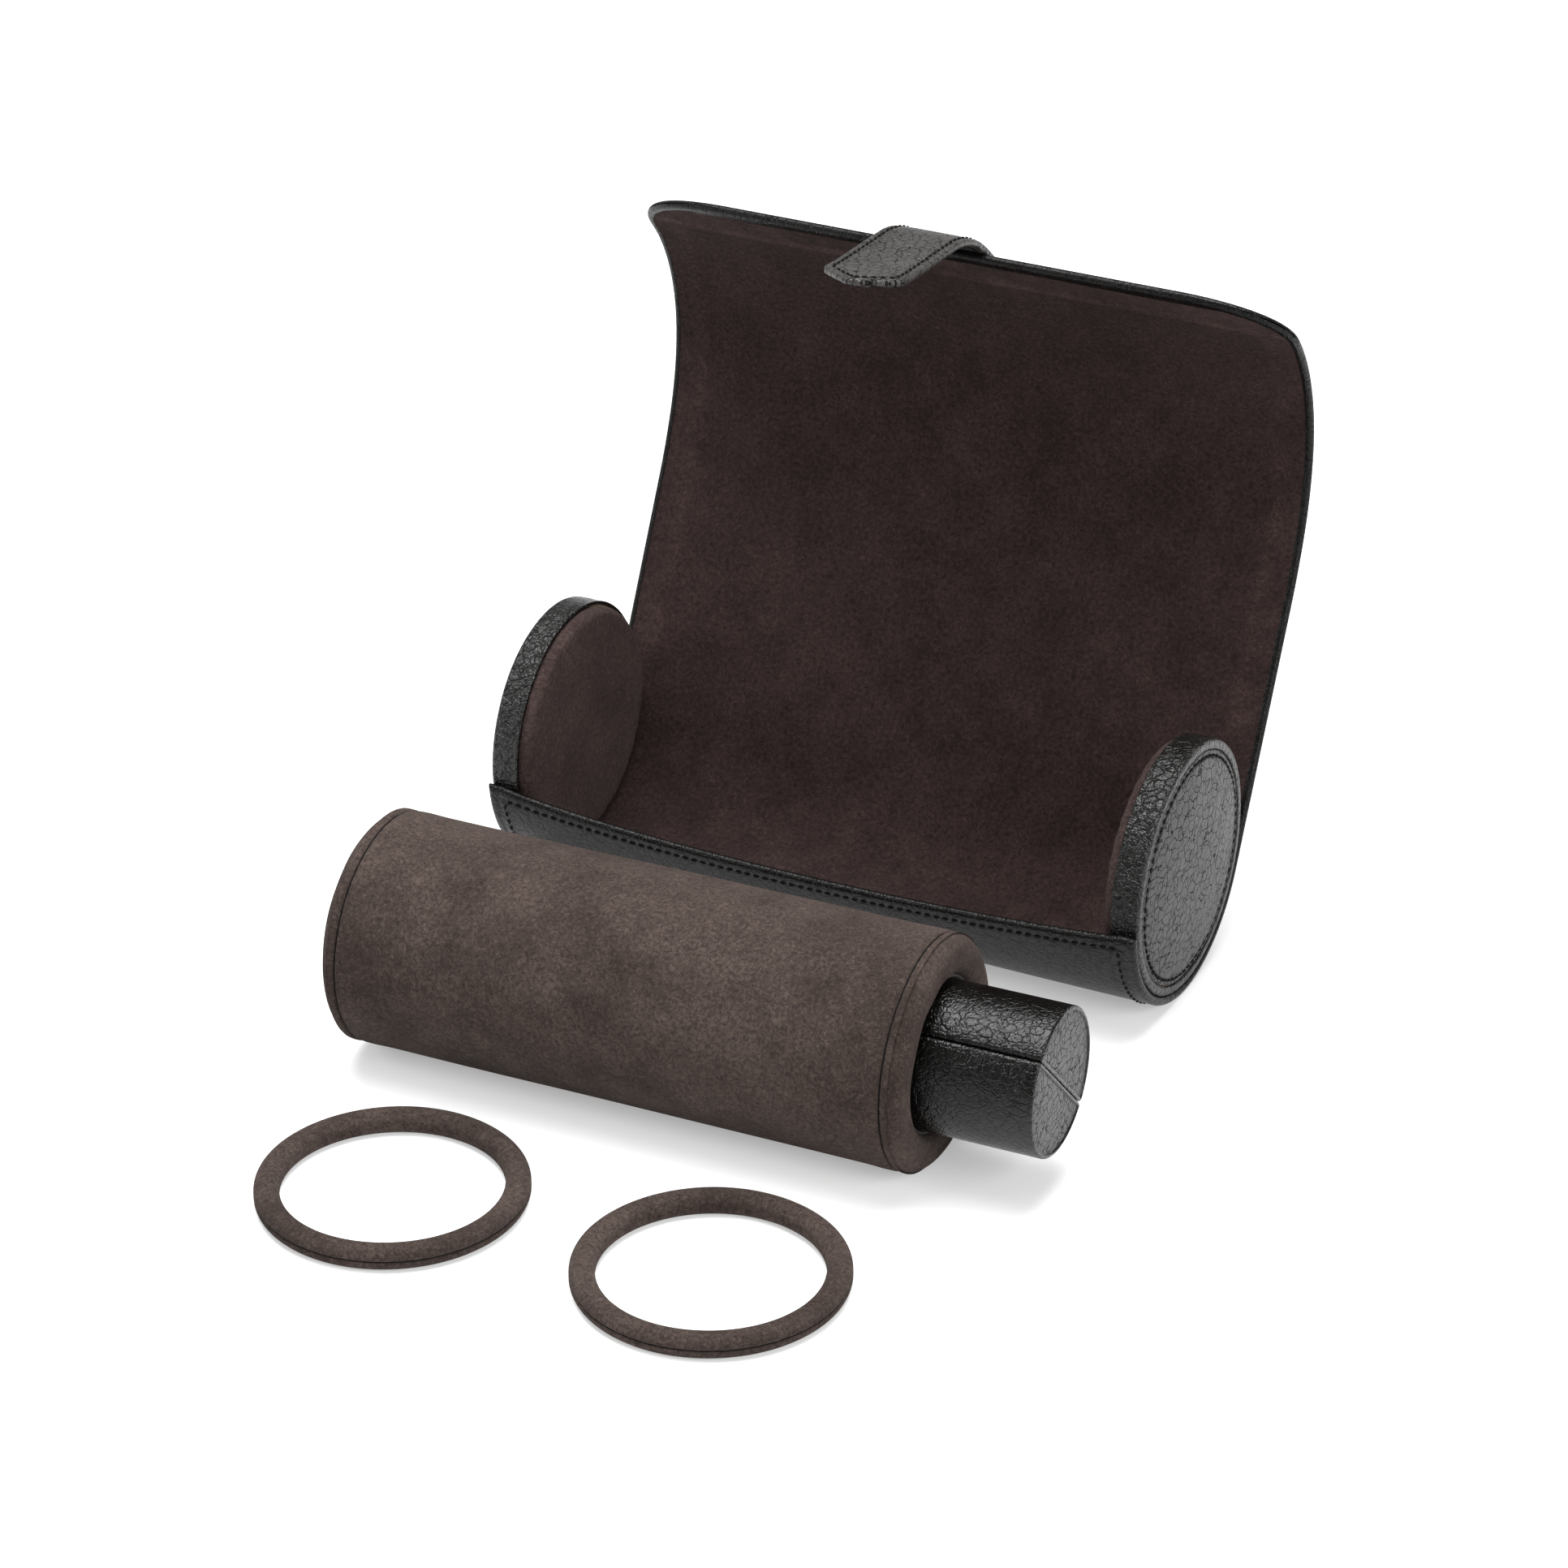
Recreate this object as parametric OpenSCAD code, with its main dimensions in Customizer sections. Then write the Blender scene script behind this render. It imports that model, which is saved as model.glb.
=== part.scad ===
// Watch roll: a round leather case with a wrap-over lid, a soft sleeve that the watches
// strap around, a split core that stiffens the sleeve, and two divider rings.
// The case lies along X with its lid open. The sleeve and the rings lie in front of it.

/* [Case] */
// Length of the case over both caps
case_l = 260; // [200:1:320]
// Outer diameter of the round end caps
cap_d = 94.4; // [70:0.2:120]
// Width of the leather band round each cap
cap_w = 10.9; // [8:0.1:16]
// Thickness of the band leather
band_t = 1.3; // [0.8:0.1:2]
// Width of the band's turned lip on the outer face
lip_w = 2.4; // [1.5:0.1:4]
// Thickness of the turned lip
lip_t = 1.1; // [0.8:0.1:1.6]
// Thickness of the leather pad on a cap's outer face
face_h = 2.1; // [1.5:0.1:3]
// Radius of the edge of that pad
face_edge_r = 1.6; // [1:0.1:2.8]
// How far the inner suede pad of a cap stands out of its band
pad_h = 4.5; // [3:0.1:6]
// Radius of the edge of the inner suede pad
pad_edge_r = 4.2; // [2:0.1:5]
// How deep the inner pad is seated in its band
pad_seat = 1.5; // [1:0.1:2.5]
// Play between a pad and the band round it
pad_gap = 0.4; // [0.2:0.1:0.8]
// Angle below the axis at which the front wall ends
front_drop = 5; // [0:1:20]
// Angle below the axis at which the wall leaves the caps at the back
back_drop = 27; // [20:1:35]
// Length of straight wall between the caps and the first fold of the lid
tail_l = 15; // [12:0.5:20]
// Depth of the flat that the case stands on
base_flat = 0.2; // [0.1:0.05:0.5]

/* [Wall] */
// Thickness of the outer leather
leather_t = 1.2; // [0.8:0.1:1.8]
// Thickness of the stiff board
board_t = 1.4; // [0.8:0.1:2.5]
// Thickness of the suede lining
lining_t = 0.9; // [0.6:0.1:1.5]
// Width of leather that shows beside the lining at an edge
rim_w = 1.0; // [0.6:0.1:2]
// Width of leather turned in along the lid's side edges
side_hem = 12; // [8:0.5:18]
// Width of leather turned in along the lid's far edge
far_hem = 20; // [14:0.5:24]

/* [Lid] */
// Length of wall between two folds
fold_pitch = 27.5; // [26:0.1:30]
// Gap that is left between two stretches of wall
fold_gap = 0.3; // [0.2:0.05:0.5]
// Reach of the lid's rounded far corners along its sides
corner_r = 26; // [22:0.5:26]
// Reach of the same corners along its far edge
corner_w = 40; // [30:0.5:45]
// Turn of each stretch of the open lid in degrees, from the case to the far edge
lid_turn = [0, 0, 0, 9, 16, 21, 22, 10];
// Turn at each fold in degrees when the lid closes, from the case to the far edge
lid_fold = [32.5, 32.5, 30.5, 30.5, 16.3, 8.9, 13.3, 12.8];

/* [Tab] */
// Width of the closing tab
tab_w = 31; // [20:0.5:45]
// Thickness of the tab
tab_t = 3.2; // [2:0.1:4]
// Length of each of its three free stretches
tab_pitch = 27; // [25:0.5:28]
// Length of tab sewn to the outside of the lid
tab_root_l = 22; // [15:0.5:26]
// Turn of each free stretch of the tab in degrees when it is relaxed
tab_turn = [36, 0, -9];
// Turn at each fold of the tab in degrees when it is wrapped round the case
tab_fold = [8, 9, 31];
// Length of the tab's tapered tip
tip_l = 10; // [6:0.5:14]
// Corner radius of the tip
tip_r = 5; // [3:0.5:7]

/* [Snap] */
// Diameter of the snap's flanges
snap_d = 11; // [8:0.5:14]
// Thickness of a flange
flange_t = 0.8; // [0.5:0.1:1.2]
// Height of the socket over the outer leather
socket_h = 1.3; // [1:0.1:1.6]
// Depth of the socket in the outer leather
socket_seat = 0.5; // [0.3:0.1:0.8]
// Diameter of the hole in the socket
socket_bore = 6.8; // [5:0.1:7.5]
// Diameter of the stud
stud_d = 5.6; // [3.5:0.1:6.2]
// Height of the stud over the tab
stud_h = 2.1; // [1.6:0.1:2.2]
// Diameter of the rivets that hold the snap
rivet_d = 3.2; // [2:0.1:4]
// Depth of the rivets in what they hold
rivet_l = 1.6; // [1:0.1:2]

/* [Sleeve] */
// Length of the soft sleeve
sleeve_l = 221; // [160:1:228]
// Outer diameter of the sleeve
sleeve_d = 83.7; // [65:0.1:90]
// Thickness of the suede over the sleeve
cover_t = 1.2; // [0.8:0.1:2]
// Rounding of the sleeve's outer edges
sleeve_edge_r = 7; // [3:0.5:9]
// Rounding of the sleeve's edges at the bore
bore_edge_r = 4; // [2:0.5:5]
// Thickness of the tube that lines the bore
liner_t = 1.0; // [0.6:0.1:1.5]
// Distance of the sleeve's axis in front of the case's axis
sleeve_front = 145.5; // [135:0.5:170]
// Shift of the sleeve to the left of the case's middle
sleeve_left = 9.5; // [0:0.5:20]
// Angle between the sleeve and the case
sleeve_yaw = 2; // [0:0.5:4]

/* [Core] */
// Outer diameter of the split core
core_d = 53; // [40:0.1:58]
// Thickness of the leather on the core
wrap_t = 1.2; // [0.8:0.1:2]
// Rounding of the core's long edges
groove_r = 2.6; // [1.5:0.1:4]
// Play between the core and the bore
core_play = 0.4; // [0.3:0.05:1]
// How far the core stands out of the sleeve
core_out = 41.7; // [10:0.1:60]
// Tilt of the split between the halves
split_tilt = 135; // [90:1:180]
// Thickness of the pads on the core's ends
end_pad_t = 2.2; // [1.5:0.1:3]
// Width of the rolled leather edge round an end pad
end_edge_w = 2; // [1.3:0.1:2.2]
// How far an end pad lies below that edge
end_pad_drop = 0.4; // [0.2:0.1:1]

/* [Rings] */
// Outer diameter of a divider ring
ring_d = 94; // [70:0.5:94]
// Width of the ring's section
ring_w = 8.7; // [6:0.1:11]
// Height of the ring
ring_h = 8; // [5:0.1:11]
// Rounding of the ring's section
ring_edge_r = 3; // [1.5:0.1:3.2]
// Thickness of the suede on a ring
ring_cover_t = 1.2; // [0.8:0.1:1.5]
// Place of the left ring's centre
ring_left_at = [-57.4, -245.2];
// Place of the right ring's centre
ring_right_at = [62.9, -243];

/* [Hidden] */
folds = len(lid_turn);
tab_folds = len(tab_turn);
sides = ["left", "right"];
halves = ["back", "front"];
$fn = 96;

black = "#1d1b1a";
brown = "#43372f";
taupe = "#6b5d55";
card = "#a58a63";
metal = "#8c8c90";
foam = "#c9c2b4";

cap_r = cap_d / 2;
wall_t = lining_t + board_t + leather_t;
shell_r = cap_r + wall_t;
axis_z = shell_r - base_flat;
far = 400;
bite = 0.01;
corner_step = 10;
corner_over = 0.05;

// A direction b is in degrees from +Z towards the front, and a place is [y, z].
function ahead(b) = [-sin(b), cos(b)];
function outward(b) = [cos(b), sin(b)];
// End of a stretch of wall of length l that starts at p in direction b and turns by k
function bent_end(p, b, l, k) = k == 0
    ? p + l * ahead(b)
    : p + 2 * l / (k * PI / 180) * sin(k / 2) * ahead(b + k / 2);

wall_end = [cap_r * cos(back_drop), axis_z - cap_r * sin(back_drop)];
hinge_at = wall_end + tail_l * ahead(-back_drop);

// Place and direction of a stretch of the lid, open with shut at 0 and closed with shut at 1
function lid_at(i, shut = 0) = i == 0
    ? [hinge_at, -back_drop + shut * lid_fold[0]]
    : let (q = lid_at(i - 1, shut))
      [bent_end(q[0], q[1], fold_pitch, lid_turn[i - 1]),
       q[1] + lid_turn[i - 1] + (i < folds ? shut * lid_fold[i] : 0)];
// The same for a stretch of the tab, whose inner face lies on the lid's outer face
function tab_at(i, shut = 0) = i == 0
    ? let (q = lid_at(folds, shut))
      [q[0] + wall_t * outward(q[1]), q[1] + shut * tab_fold[0]]
    : let (q = tab_at(i - 1, shut))
      [bent_end(q[0], q[1], tab_pitch, tab_turn[i - 1]),
       q[1] + tab_turn[i - 1] + (i < tab_folds ? shut * tab_fold[i] : 0)];

// The stud is at the middle of the tab's last stretch, and the socket is where it lands
last_tab = tab_folds - 1;
half_turn = tab_turn[last_tab] / 2;
function stud_at(shut) =
    let (q = tab_at(last_tab, shut))
    [bent_end(q[0], q[1], tab_pitch / 2, half_turn), q[1] + half_turn];
landing = stud_at(1)[0] - [0, axis_z];
snap_angle = atan2(landing[1], landing[0]);

core_r = core_d / 2;
bore_r = core_r + core_play;
sleeve_r = sleeve_d / 2;
ring_r = ring_d / 2;

// A profile in the YZ plane, drawn out to a width along X
module along_x(w) {
    translate([-w / 2, 0, 0]) rotate([90, 0, 90]) linear_extrude(w) children();
}

// A stretch of wall between the offsets a and b from its inner face, from d0 to d1 along it
module stretch(a, b, l, k, d0, d1) {
    if (k == 0) {
        translate([a, d0]) square([b - a, d1 - d0]);
    } else {
        s = sign(k);
        r = l / (abs(k) * PI / 180);
        $fn = max(96, round(16 * sqrt(r)));
        a0 = d0 / r * 180 / PI;
        a1 = d1 / r * 180 / PI;
        ray = 2 * r + 20;
        translate([-s * r, 0]) intersection() {
            difference() {
                circle(r + (s > 0 ? b : -a));
                circle(r + (s > 0 ? a : -b));
            }
            polygon([[0, 0], ray * [s * cos(a0), sin(a0)], ray * [s * cos(a1), sin(a1)]]);
        }
    }
}

// Puts a piece drawn on a stretch of wall where that stretch is
module placed(q) {
    translate([0, q[0][0], q[0][1]]) rotate([q[1], 0, 0]) children();
}

// The wall's profile round the caps, from the front edge to the first fold
module shell_profile(a, b, front_trim = 0, back_trim = 0) {
    front = 180 + front_drop + front_trim / cap_r * 180 / PI;
    back = 360 - back_drop;
    middle = (front + back) / 2;
    ray = 3 * cap_r;
    translate([0, axis_z]) intersection() {
        difference() {
            circle(cap_r + b);
            circle(cap_r + a);
        }
        polygon([[0, 0], for (g = [front, middle, back]) ray * [cos(g), sin(g)]]);
    }
    translate(wall_end) rotate(-back_drop)
        translate([a, -bite]) square([b - a, tail_l - back_trim + bite]);
}

module above_floor() {
    intersection() {
        children();
        translate([-far / 2, -far / 2, 0]) cube(far);
    }
}

// Axis that points out of the case through the snap socket, with z = 0 at the cap radius
module at_snap() {
    translate([0, 0, axis_z]) rotate([snap_angle - 90, 0, 0]) translate([0, 0, cap_r]) children();
}

module socket_body() {
    translate([0, 0, wall_t - socket_seat]) cylinder(d = snap_d, h = socket_seat + socket_h);
    translate([0, 0, lining_t]) cylinder(d = rivet_d, h = wall_t - lining_t);
    translate([0, 0, lining_t]) cylinder(d = 2 * rivet_d, h = flange_t / 2);
}

module shell_leather() {
    color(black) difference() {
        above_floor() along_x(case_l) shell_profile(0, wall_t, 0, fold_gap / 2);
        along_x(case_l - 2 * rim_w) shell_profile(-bite, lining_t + board_t, rim_w, 0);
        at_snap() socket_body();
    }
}

module shell_board() {
    color(card) difference() {
        along_x(case_l - 2 * rim_w)
            shell_profile(lining_t, lining_t + board_t, rim_w, fold_gap / 2);
        at_snap() socket_body();
    }
}

module shell_lining() {
    color(brown) along_x(case_l - 2 * rim_w) shell_profile(0, lining_t, rim_w, fold_gap / 2);
}

// Puts a cap piece, drawn with +Z pointing out of the case, at its end of the case
module at_end(side) {
    s = side == "right" ? 1 : -1;
    translate([s * (case_l / 2 - cap_w), 0, axis_z]) rotate([0, s * 90, 0]) children();
}

module cap_board(side) {
    color(card) at_end(side)
        translate([0, 0, pad_seat]) cylinder(r = cap_r - band_t, h = cap_w - pad_seat - lip_t);
}

module cap_band(side) {
    color(black) at_end(side) difference() {
        cylinder(r = cap_r, h = cap_w);
        translate([0, 0, -bite]) cylinder(r = cap_r - band_t, h = cap_w - lip_t + bite);
        cylinder(r = cap_r - band_t - lip_w, h = cap_w + 1);
    }
}

// Round pad of height h with its top edge rounded by e
module soft_disc(r, h, e) {
    rotate_extrude() {
        square([r, h - e]);
        square([r - e, h]);
        intersection() {
            translate([r - e, h - e]) circle(e);
            translate([0, h - e]) square([r, e]);
        }
    }
}

module cap_face(side) {
    color(black) at_end(side) translate([0, 0, cap_w - lip_t])
        soft_disc(cap_r - band_t - lip_w, face_h, face_edge_r);
}

module cap_pad(side) {
    color(brown) at_end(side) translate([0, 0, pad_seat]) mirror([0, 0, 1])
        soft_disc(cap_r - band_t - pad_gap, pad_h + pad_seat, pad_edge_r);
}

module snap_socket() {
    color(metal) at_snap() difference() {
        socket_body();
        translate([0, 0, wall_t]) cylinder(d = socket_bore, h = 2 * socket_h);
    }
}

// Cuts oval corners at the far end of a stretch of wall of width w and length l
module rounded_corners(w, l, k, rx, ry) {
    turn = k * l / fold_pitch;
    place = bent_end([0, 0], 0, l, turn);
    difference() {
        children();
        translate([0, place[0], place[1]]) rotate([90 + turn, 0, 0])
            for (s = [-1, 1]) translate([s * (w / 2 - rx), -ry, 0]) mirror([s < 0 ? 1 : 0, 0, 0])
                linear_extrude(8 * wall_t, center = true) polygon([
                    for (a = [0:corner_step:90]) [(rx + corner_over) * cos(a), (ry + corner_over) * sin(a)],
                    [0, 2 * ry], [2 * rx, 2 * ry], [2 * rx, 0]
                ]);
    }
}

// One layer of a lid stretch between two offsets from its inner face, kept back from the edges
module lid_layer(i, a, b, side, end) {
    k = lid_turn[i - 1];
    w = case_l - 2 * side;
    start = fold_gap / 2;
    if (i < folds) {
        along_x(w) stretch(a, b, fold_pitch, k, start, fold_pitch - start);
    } else {
        rounded_corners(w, fold_pitch - end, k, corner_w - side, corner_r - end)
            along_x(w) stretch(a, b, fold_pitch, k, start, fold_pitch - end);
    }
}

module lid_leather(i) {
    color(black) placed(lid_at(i - 1)) difference() {
        lid_layer(i, 0, wall_t, 0, 0);
        lid_layer(i, -1, lining_t, rim_w, rim_w);
        lid_layer(i, lining_t - bite, lining_t + board_t, side_hem, far_hem);
    }
}

module lid_board(i) {
    color(card) placed(lid_at(i - 1)) lid_layer(i, lining_t, lining_t + board_t, side_hem, far_hem);
}

module lid_lining(i) {
    color(brown) placed(lid_at(i - 1)) lid_layer(i, 0, lining_t, rim_w, rim_w);
}

module tab_root() {
    k = lid_turn[folds - 1];
    color(black) placed(lid_at(folds - 1)) along_x(tab_w)
        stretch(wall_t, wall_t + tab_t, fold_pitch, k, fold_pitch - tab_root_l, fold_pitch - fold_gap / 2);
}

// Cuts the tab's tip to a taper of rounded corners, on a stretch that turns by k
module tapered_tip(k) {
    w = tab_w / 2;
    intersection() {
        children();
        rotate([90 + k / 2, 0, 0]) linear_extrude(far / 4, center = true) hull() {
            translate([-w, -tab_pitch]) square([tab_w, tab_pitch]);
            for (s = [-1, 1]) translate([s * (w - tip_r), tab_pitch - tip_l - tip_r / 2]) circle(tip_r);
            translate([0, tab_pitch - tip_r]) circle(tip_r);
        }
    }
}

module stud_rivet() {
    translate([0, 0, -rivet_l]) cylinder(d = rivet_d, h = rivet_l + flange_t);
}

// Axis that points out of the tab's inner face at the stud, with z = 0 on that face
module at_stud() {
    q = stud_at(0);
    translate([0, q[0][0], q[0][1]]) rotate([q[1] + 90, 0, 0]) children();
}

module tab_strap(i) {
    k = tab_turn[i - 1];
    start = fold_gap / 2;
    color(black) if (i < tab_folds) {
        placed(tab_at(i - 1)) along_x(tab_w) stretch(0, tab_t, tab_pitch, k, start, tab_pitch - start);
    } else difference() {
        placed(tab_at(i - 1)) tapered_tip(k)
            along_x(tab_w) stretch(0, tab_t, tab_pitch, k, start, tab_pitch);
        at_stud() stud_rivet();
    }
}

module snap_stud() {
    color(metal) at_stud() {
        stud_rivet();
        cylinder(d = snap_d, h = flange_t);
        cylinder(d = stud_d, h = stud_h);
    }
}

// The sleeve's own frame: +Z along its axis to the right, z = 0 at its middle
module at_sleeve() {
    translate([0, -sleeve_front, sleeve_r]) rotate([0, 0, sleeve_yaw]) rotate([0, 90, 0])
        translate([0, 0, -sleeve_left]) children();
}

// Half of the sleeve's section, [radius, height], grown or shrunk by g
module sleeve_section(g, inner) {
    ro = sleeve_r + g;
    h = sleeve_l + 2 * g;
    e = sleeve_edge_r + g;
    f = bore_edge_r + g;
    difference() {
        union() {
            translate([inner, e - h / 2]) square([ro - inner, h - 2 * e]);
            translate([inner, -h / 2]) square([ro - e - inner, h]);
            for (s = [-1, 1]) translate([ro - e, s * (h / 2 - e)]) circle(e);
        }
        for (s = [-1, 1]) translate([inner, s * h / 2]) difference() {
            translate([-1, -f + (s < 0 ? f - 1 : 0)]) square([f + 1, f + 1]);
            translate([f, -s * f]) circle(f);
        }
    }
}

module sleeve_cover() {
    inner = bore_r + liner_t;
    color(taupe) at_sleeve() rotate_extrude() difference() {
        sleeve_section(0, inner);
        sleeve_section(-cover_t, inner);
        translate([0, cover_t - sleeve_l / 2]) square([inner + bite, sleeve_l - 2 * cover_t]);
    }
}

module sleeve_foam() {
    color(foam) at_sleeve() rotate_extrude() sleeve_section(-cover_t, bore_r + liner_t);
}

module sleeve_liner() {
    l = sleeve_l - 2 * (bore_edge_r - liner_t);
    color(brown) at_sleeve() rotate_extrude()
        translate([bore_r, -l / 2]) square([liner_t, l]);
}

// Section of one half of the core, shrunk by g, with its flat side on the X axis
module half_disc(g) {
    e = groove_r;
    x = sqrt(pow(core_r - e, 2) - e * e);
    ray = 2 / (core_r - e) * core_r;
    intersection() {
        circle(core_r - g);
        polygon([[-x, e], [x, e], ray * [x, e], core_r * [2, 3], core_r * [-2, 3], ray * [-x, e]]);
    }
    translate([-x, g]) square([2 * x, e - g]);
    for (s = [-1, 1]) translate([s * x, e]) circle(e - g);
}

// The core's frame: +Z along its axis, with the split along X and a half on the +Y side
module at_core(half) {
    at_sleeve() translate([0, 0, core_out]) rotate(half == "back" ? split_tilt - 90 : split_tilt + 90)
        children();
}

module core_former(half) {
    color(card) at_core(half)
        linear_extrude(sleeve_l - 2 * end_pad_t, center = true) half_disc(wrap_t);
}

module core_wrap(half) {
    color(black) at_core(half) difference() {
        linear_extrude(sleeve_l, center = true) half_disc(0);
        linear_extrude(sleeve_l - 2 * end_pad_t, center = true) half_disc(wrap_t);
        linear_extrude(2 * sleeve_l, center = true) half_disc(end_edge_w);
    }
}

module core_pad(half, side) {
    s = side == "right" ? 1 : -1;
    h = end_pad_t - end_pad_drop;
    color(black) at_core(half) translate([0, 0, s * (sleeve_l / 2 - end_pad_t + h / 2)])
        linear_extrude(h, center = true) half_disc(end_edge_w);
}

// Rounded section of a divider ring, [radius, height], shrunk by g
module ring_section(g) {
    w = ring_w - 2 * g;
    h = ring_h - 2 * g;
    e = ring_edge_r - g;
    translate([ring_r - ring_w / 2, ring_h / 2]) {
        square([w, h - 2 * e], center = true);
        square([w - 2 * e, h], center = true);
        for (s = [-1, 1], v = [-1, 1]) translate([s * (w / 2 - e), v * (h / 2 - e)]) circle(e);
    }
}

module ring_cover(at, lower) {
    color(taupe) translate(at) rotate_extrude() intersection() {
        difference() {
            ring_section(0);
            ring_section(ring_cover_t);
        }
        translate([0, lower ? 0 : ring_h / 2]) square([ring_d, ring_h / 2]);
    }
}

module ring_hoop(at) {
    color(card) translate(at) rotate_extrude() ring_section(ring_cover_t);
}

shell_leather();
shell_board();
shell_lining();
for (s = sides) {
    cap_board(s);
    cap_band(s);
    cap_face(s);
    cap_pad(s);
}
snap_socket();
snap_stud();
tab_root();
for (i = [1:folds]) {
    lid_leather(i);
    lid_board(i);
    lid_lining(i);
}
for (i = [1:tab_folds]) {
    tab_strap(i);
}
sleeve_cover();
sleeve_foam();
sleeve_liner();
for (h = halves) {
    core_former(h);
    core_wrap(h);
    core_pad(h, "left");
    core_pad(h, "right");
}
for (s = sides) {
    at = s == "left" ? ring_left_at : ring_right_at;
    ring_cover(at, false);
    ring_cover(at, true);
    ring_hoop(at);
}
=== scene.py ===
# A watch roll: a case with a lid that curls shut, a sleeve with a split core, and two divider rings
import math

import bmesh
import bpy
import numpy as np
from mathutils import Matrix, Vector


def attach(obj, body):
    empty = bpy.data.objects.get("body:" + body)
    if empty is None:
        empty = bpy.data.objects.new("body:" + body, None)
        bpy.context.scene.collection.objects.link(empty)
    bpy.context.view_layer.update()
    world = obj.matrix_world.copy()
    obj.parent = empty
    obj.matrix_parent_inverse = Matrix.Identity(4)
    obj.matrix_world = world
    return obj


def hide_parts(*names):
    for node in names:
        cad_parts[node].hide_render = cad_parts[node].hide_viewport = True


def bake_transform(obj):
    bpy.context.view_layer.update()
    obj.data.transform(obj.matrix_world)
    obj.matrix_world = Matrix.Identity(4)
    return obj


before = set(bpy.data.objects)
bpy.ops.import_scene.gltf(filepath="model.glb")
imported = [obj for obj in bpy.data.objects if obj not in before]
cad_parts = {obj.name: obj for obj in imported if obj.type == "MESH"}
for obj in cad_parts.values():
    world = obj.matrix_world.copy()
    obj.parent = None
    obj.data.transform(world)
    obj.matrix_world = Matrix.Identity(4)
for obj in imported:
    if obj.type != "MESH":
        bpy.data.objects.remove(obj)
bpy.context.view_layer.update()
MM = 0.001

# Sizes of the part, in millimetres and degrees, as in its source
CASE_L = 260.0
CAP_R = 47.2
CAP_W = 10.9
BAND_T = 1.3
LIP_W = 2.4
LIP_T = 1.1
PAD_H = 4.5
WALL_T = 3.5
LINING_T = 0.9
AXIS_Z = CAP_R + WALL_T - 0.2
FRONT_DROP = 5.0
BACK_DROP = 27.0
TAIL_L = 15.0
PITCH = 27.5
LID_TURN = [0, 0, 0, 9, 16, 21, 22, 10]
LID_L = PITCH * len(LID_TURN)
CORNER_X = 40.0
CORNER_Y = 26.0
SIDE_HEM = 12.0
FAR_HEM = 20.0
TAB_W = 31.0
TAB_T = 3.2
TAB_PITCH = 27.0
TAB_ROOT = 22.0
TAB_TURN = [36, 0, -9]
SLEEVE_L = 221.0
SLEEVE_R = 41.85
SLEEVE_FRONT = 145.5
SLEEVE_LEFT = 9.5
SLEEVE_YAW = 2.0
BORE_R = 26.9
CORE_R = 26.5
CORE_OUT = 41.7
GROOVE_R = 1.7
SPLIT_TILT = 135.0
RING_R = 47.0
RING_W = 8.7
RING_H = 8.0
RING_AT = {"left": (-57.4, -245.2), "right": (62.9, -243.0)}

# Camera: angles in radians, lens in millimetres, place in metres
CAMERA_YAW = 0.4708
CAMERA_PITCH = 0.4956
CAMERA_ROLL = -0.006
CAMERA_LENS = 120.8
CAMERA_AT = Vector((0.74265, -1.52333, 0.96977))


def place_camera():
    yaw, pitch, roll = CAMERA_YAW, CAMERA_PITCH, CAMERA_ROLL
    forward = Vector((-math.sin(yaw) * math.cos(pitch), math.cos(yaw) * math.cos(pitch), -math.sin(pitch)))
    right = Vector((math.cos(yaw), math.sin(yaw), 0.0))
    up = right.cross(forward)
    tilted = math.cos(roll) * right + math.sin(roll) * up
    upright = tilted.cross(forward)
    data = bpy.data.cameras.new("camera")
    data.sensor_width = 36.0
    data.lens = CAMERA_LENS
    data.clip_end = 50.0
    camera = bpy.data.objects.new("camera", data)
    bpy.context.collection.objects.link(camera)
    m = Matrix((tilted, upright, -forward)).transposed().to_4x4()
    m.translation = CAMERA_AT
    camera.matrix_world = m
    bpy.context.scene.camera = camera


place_camera()


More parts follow.
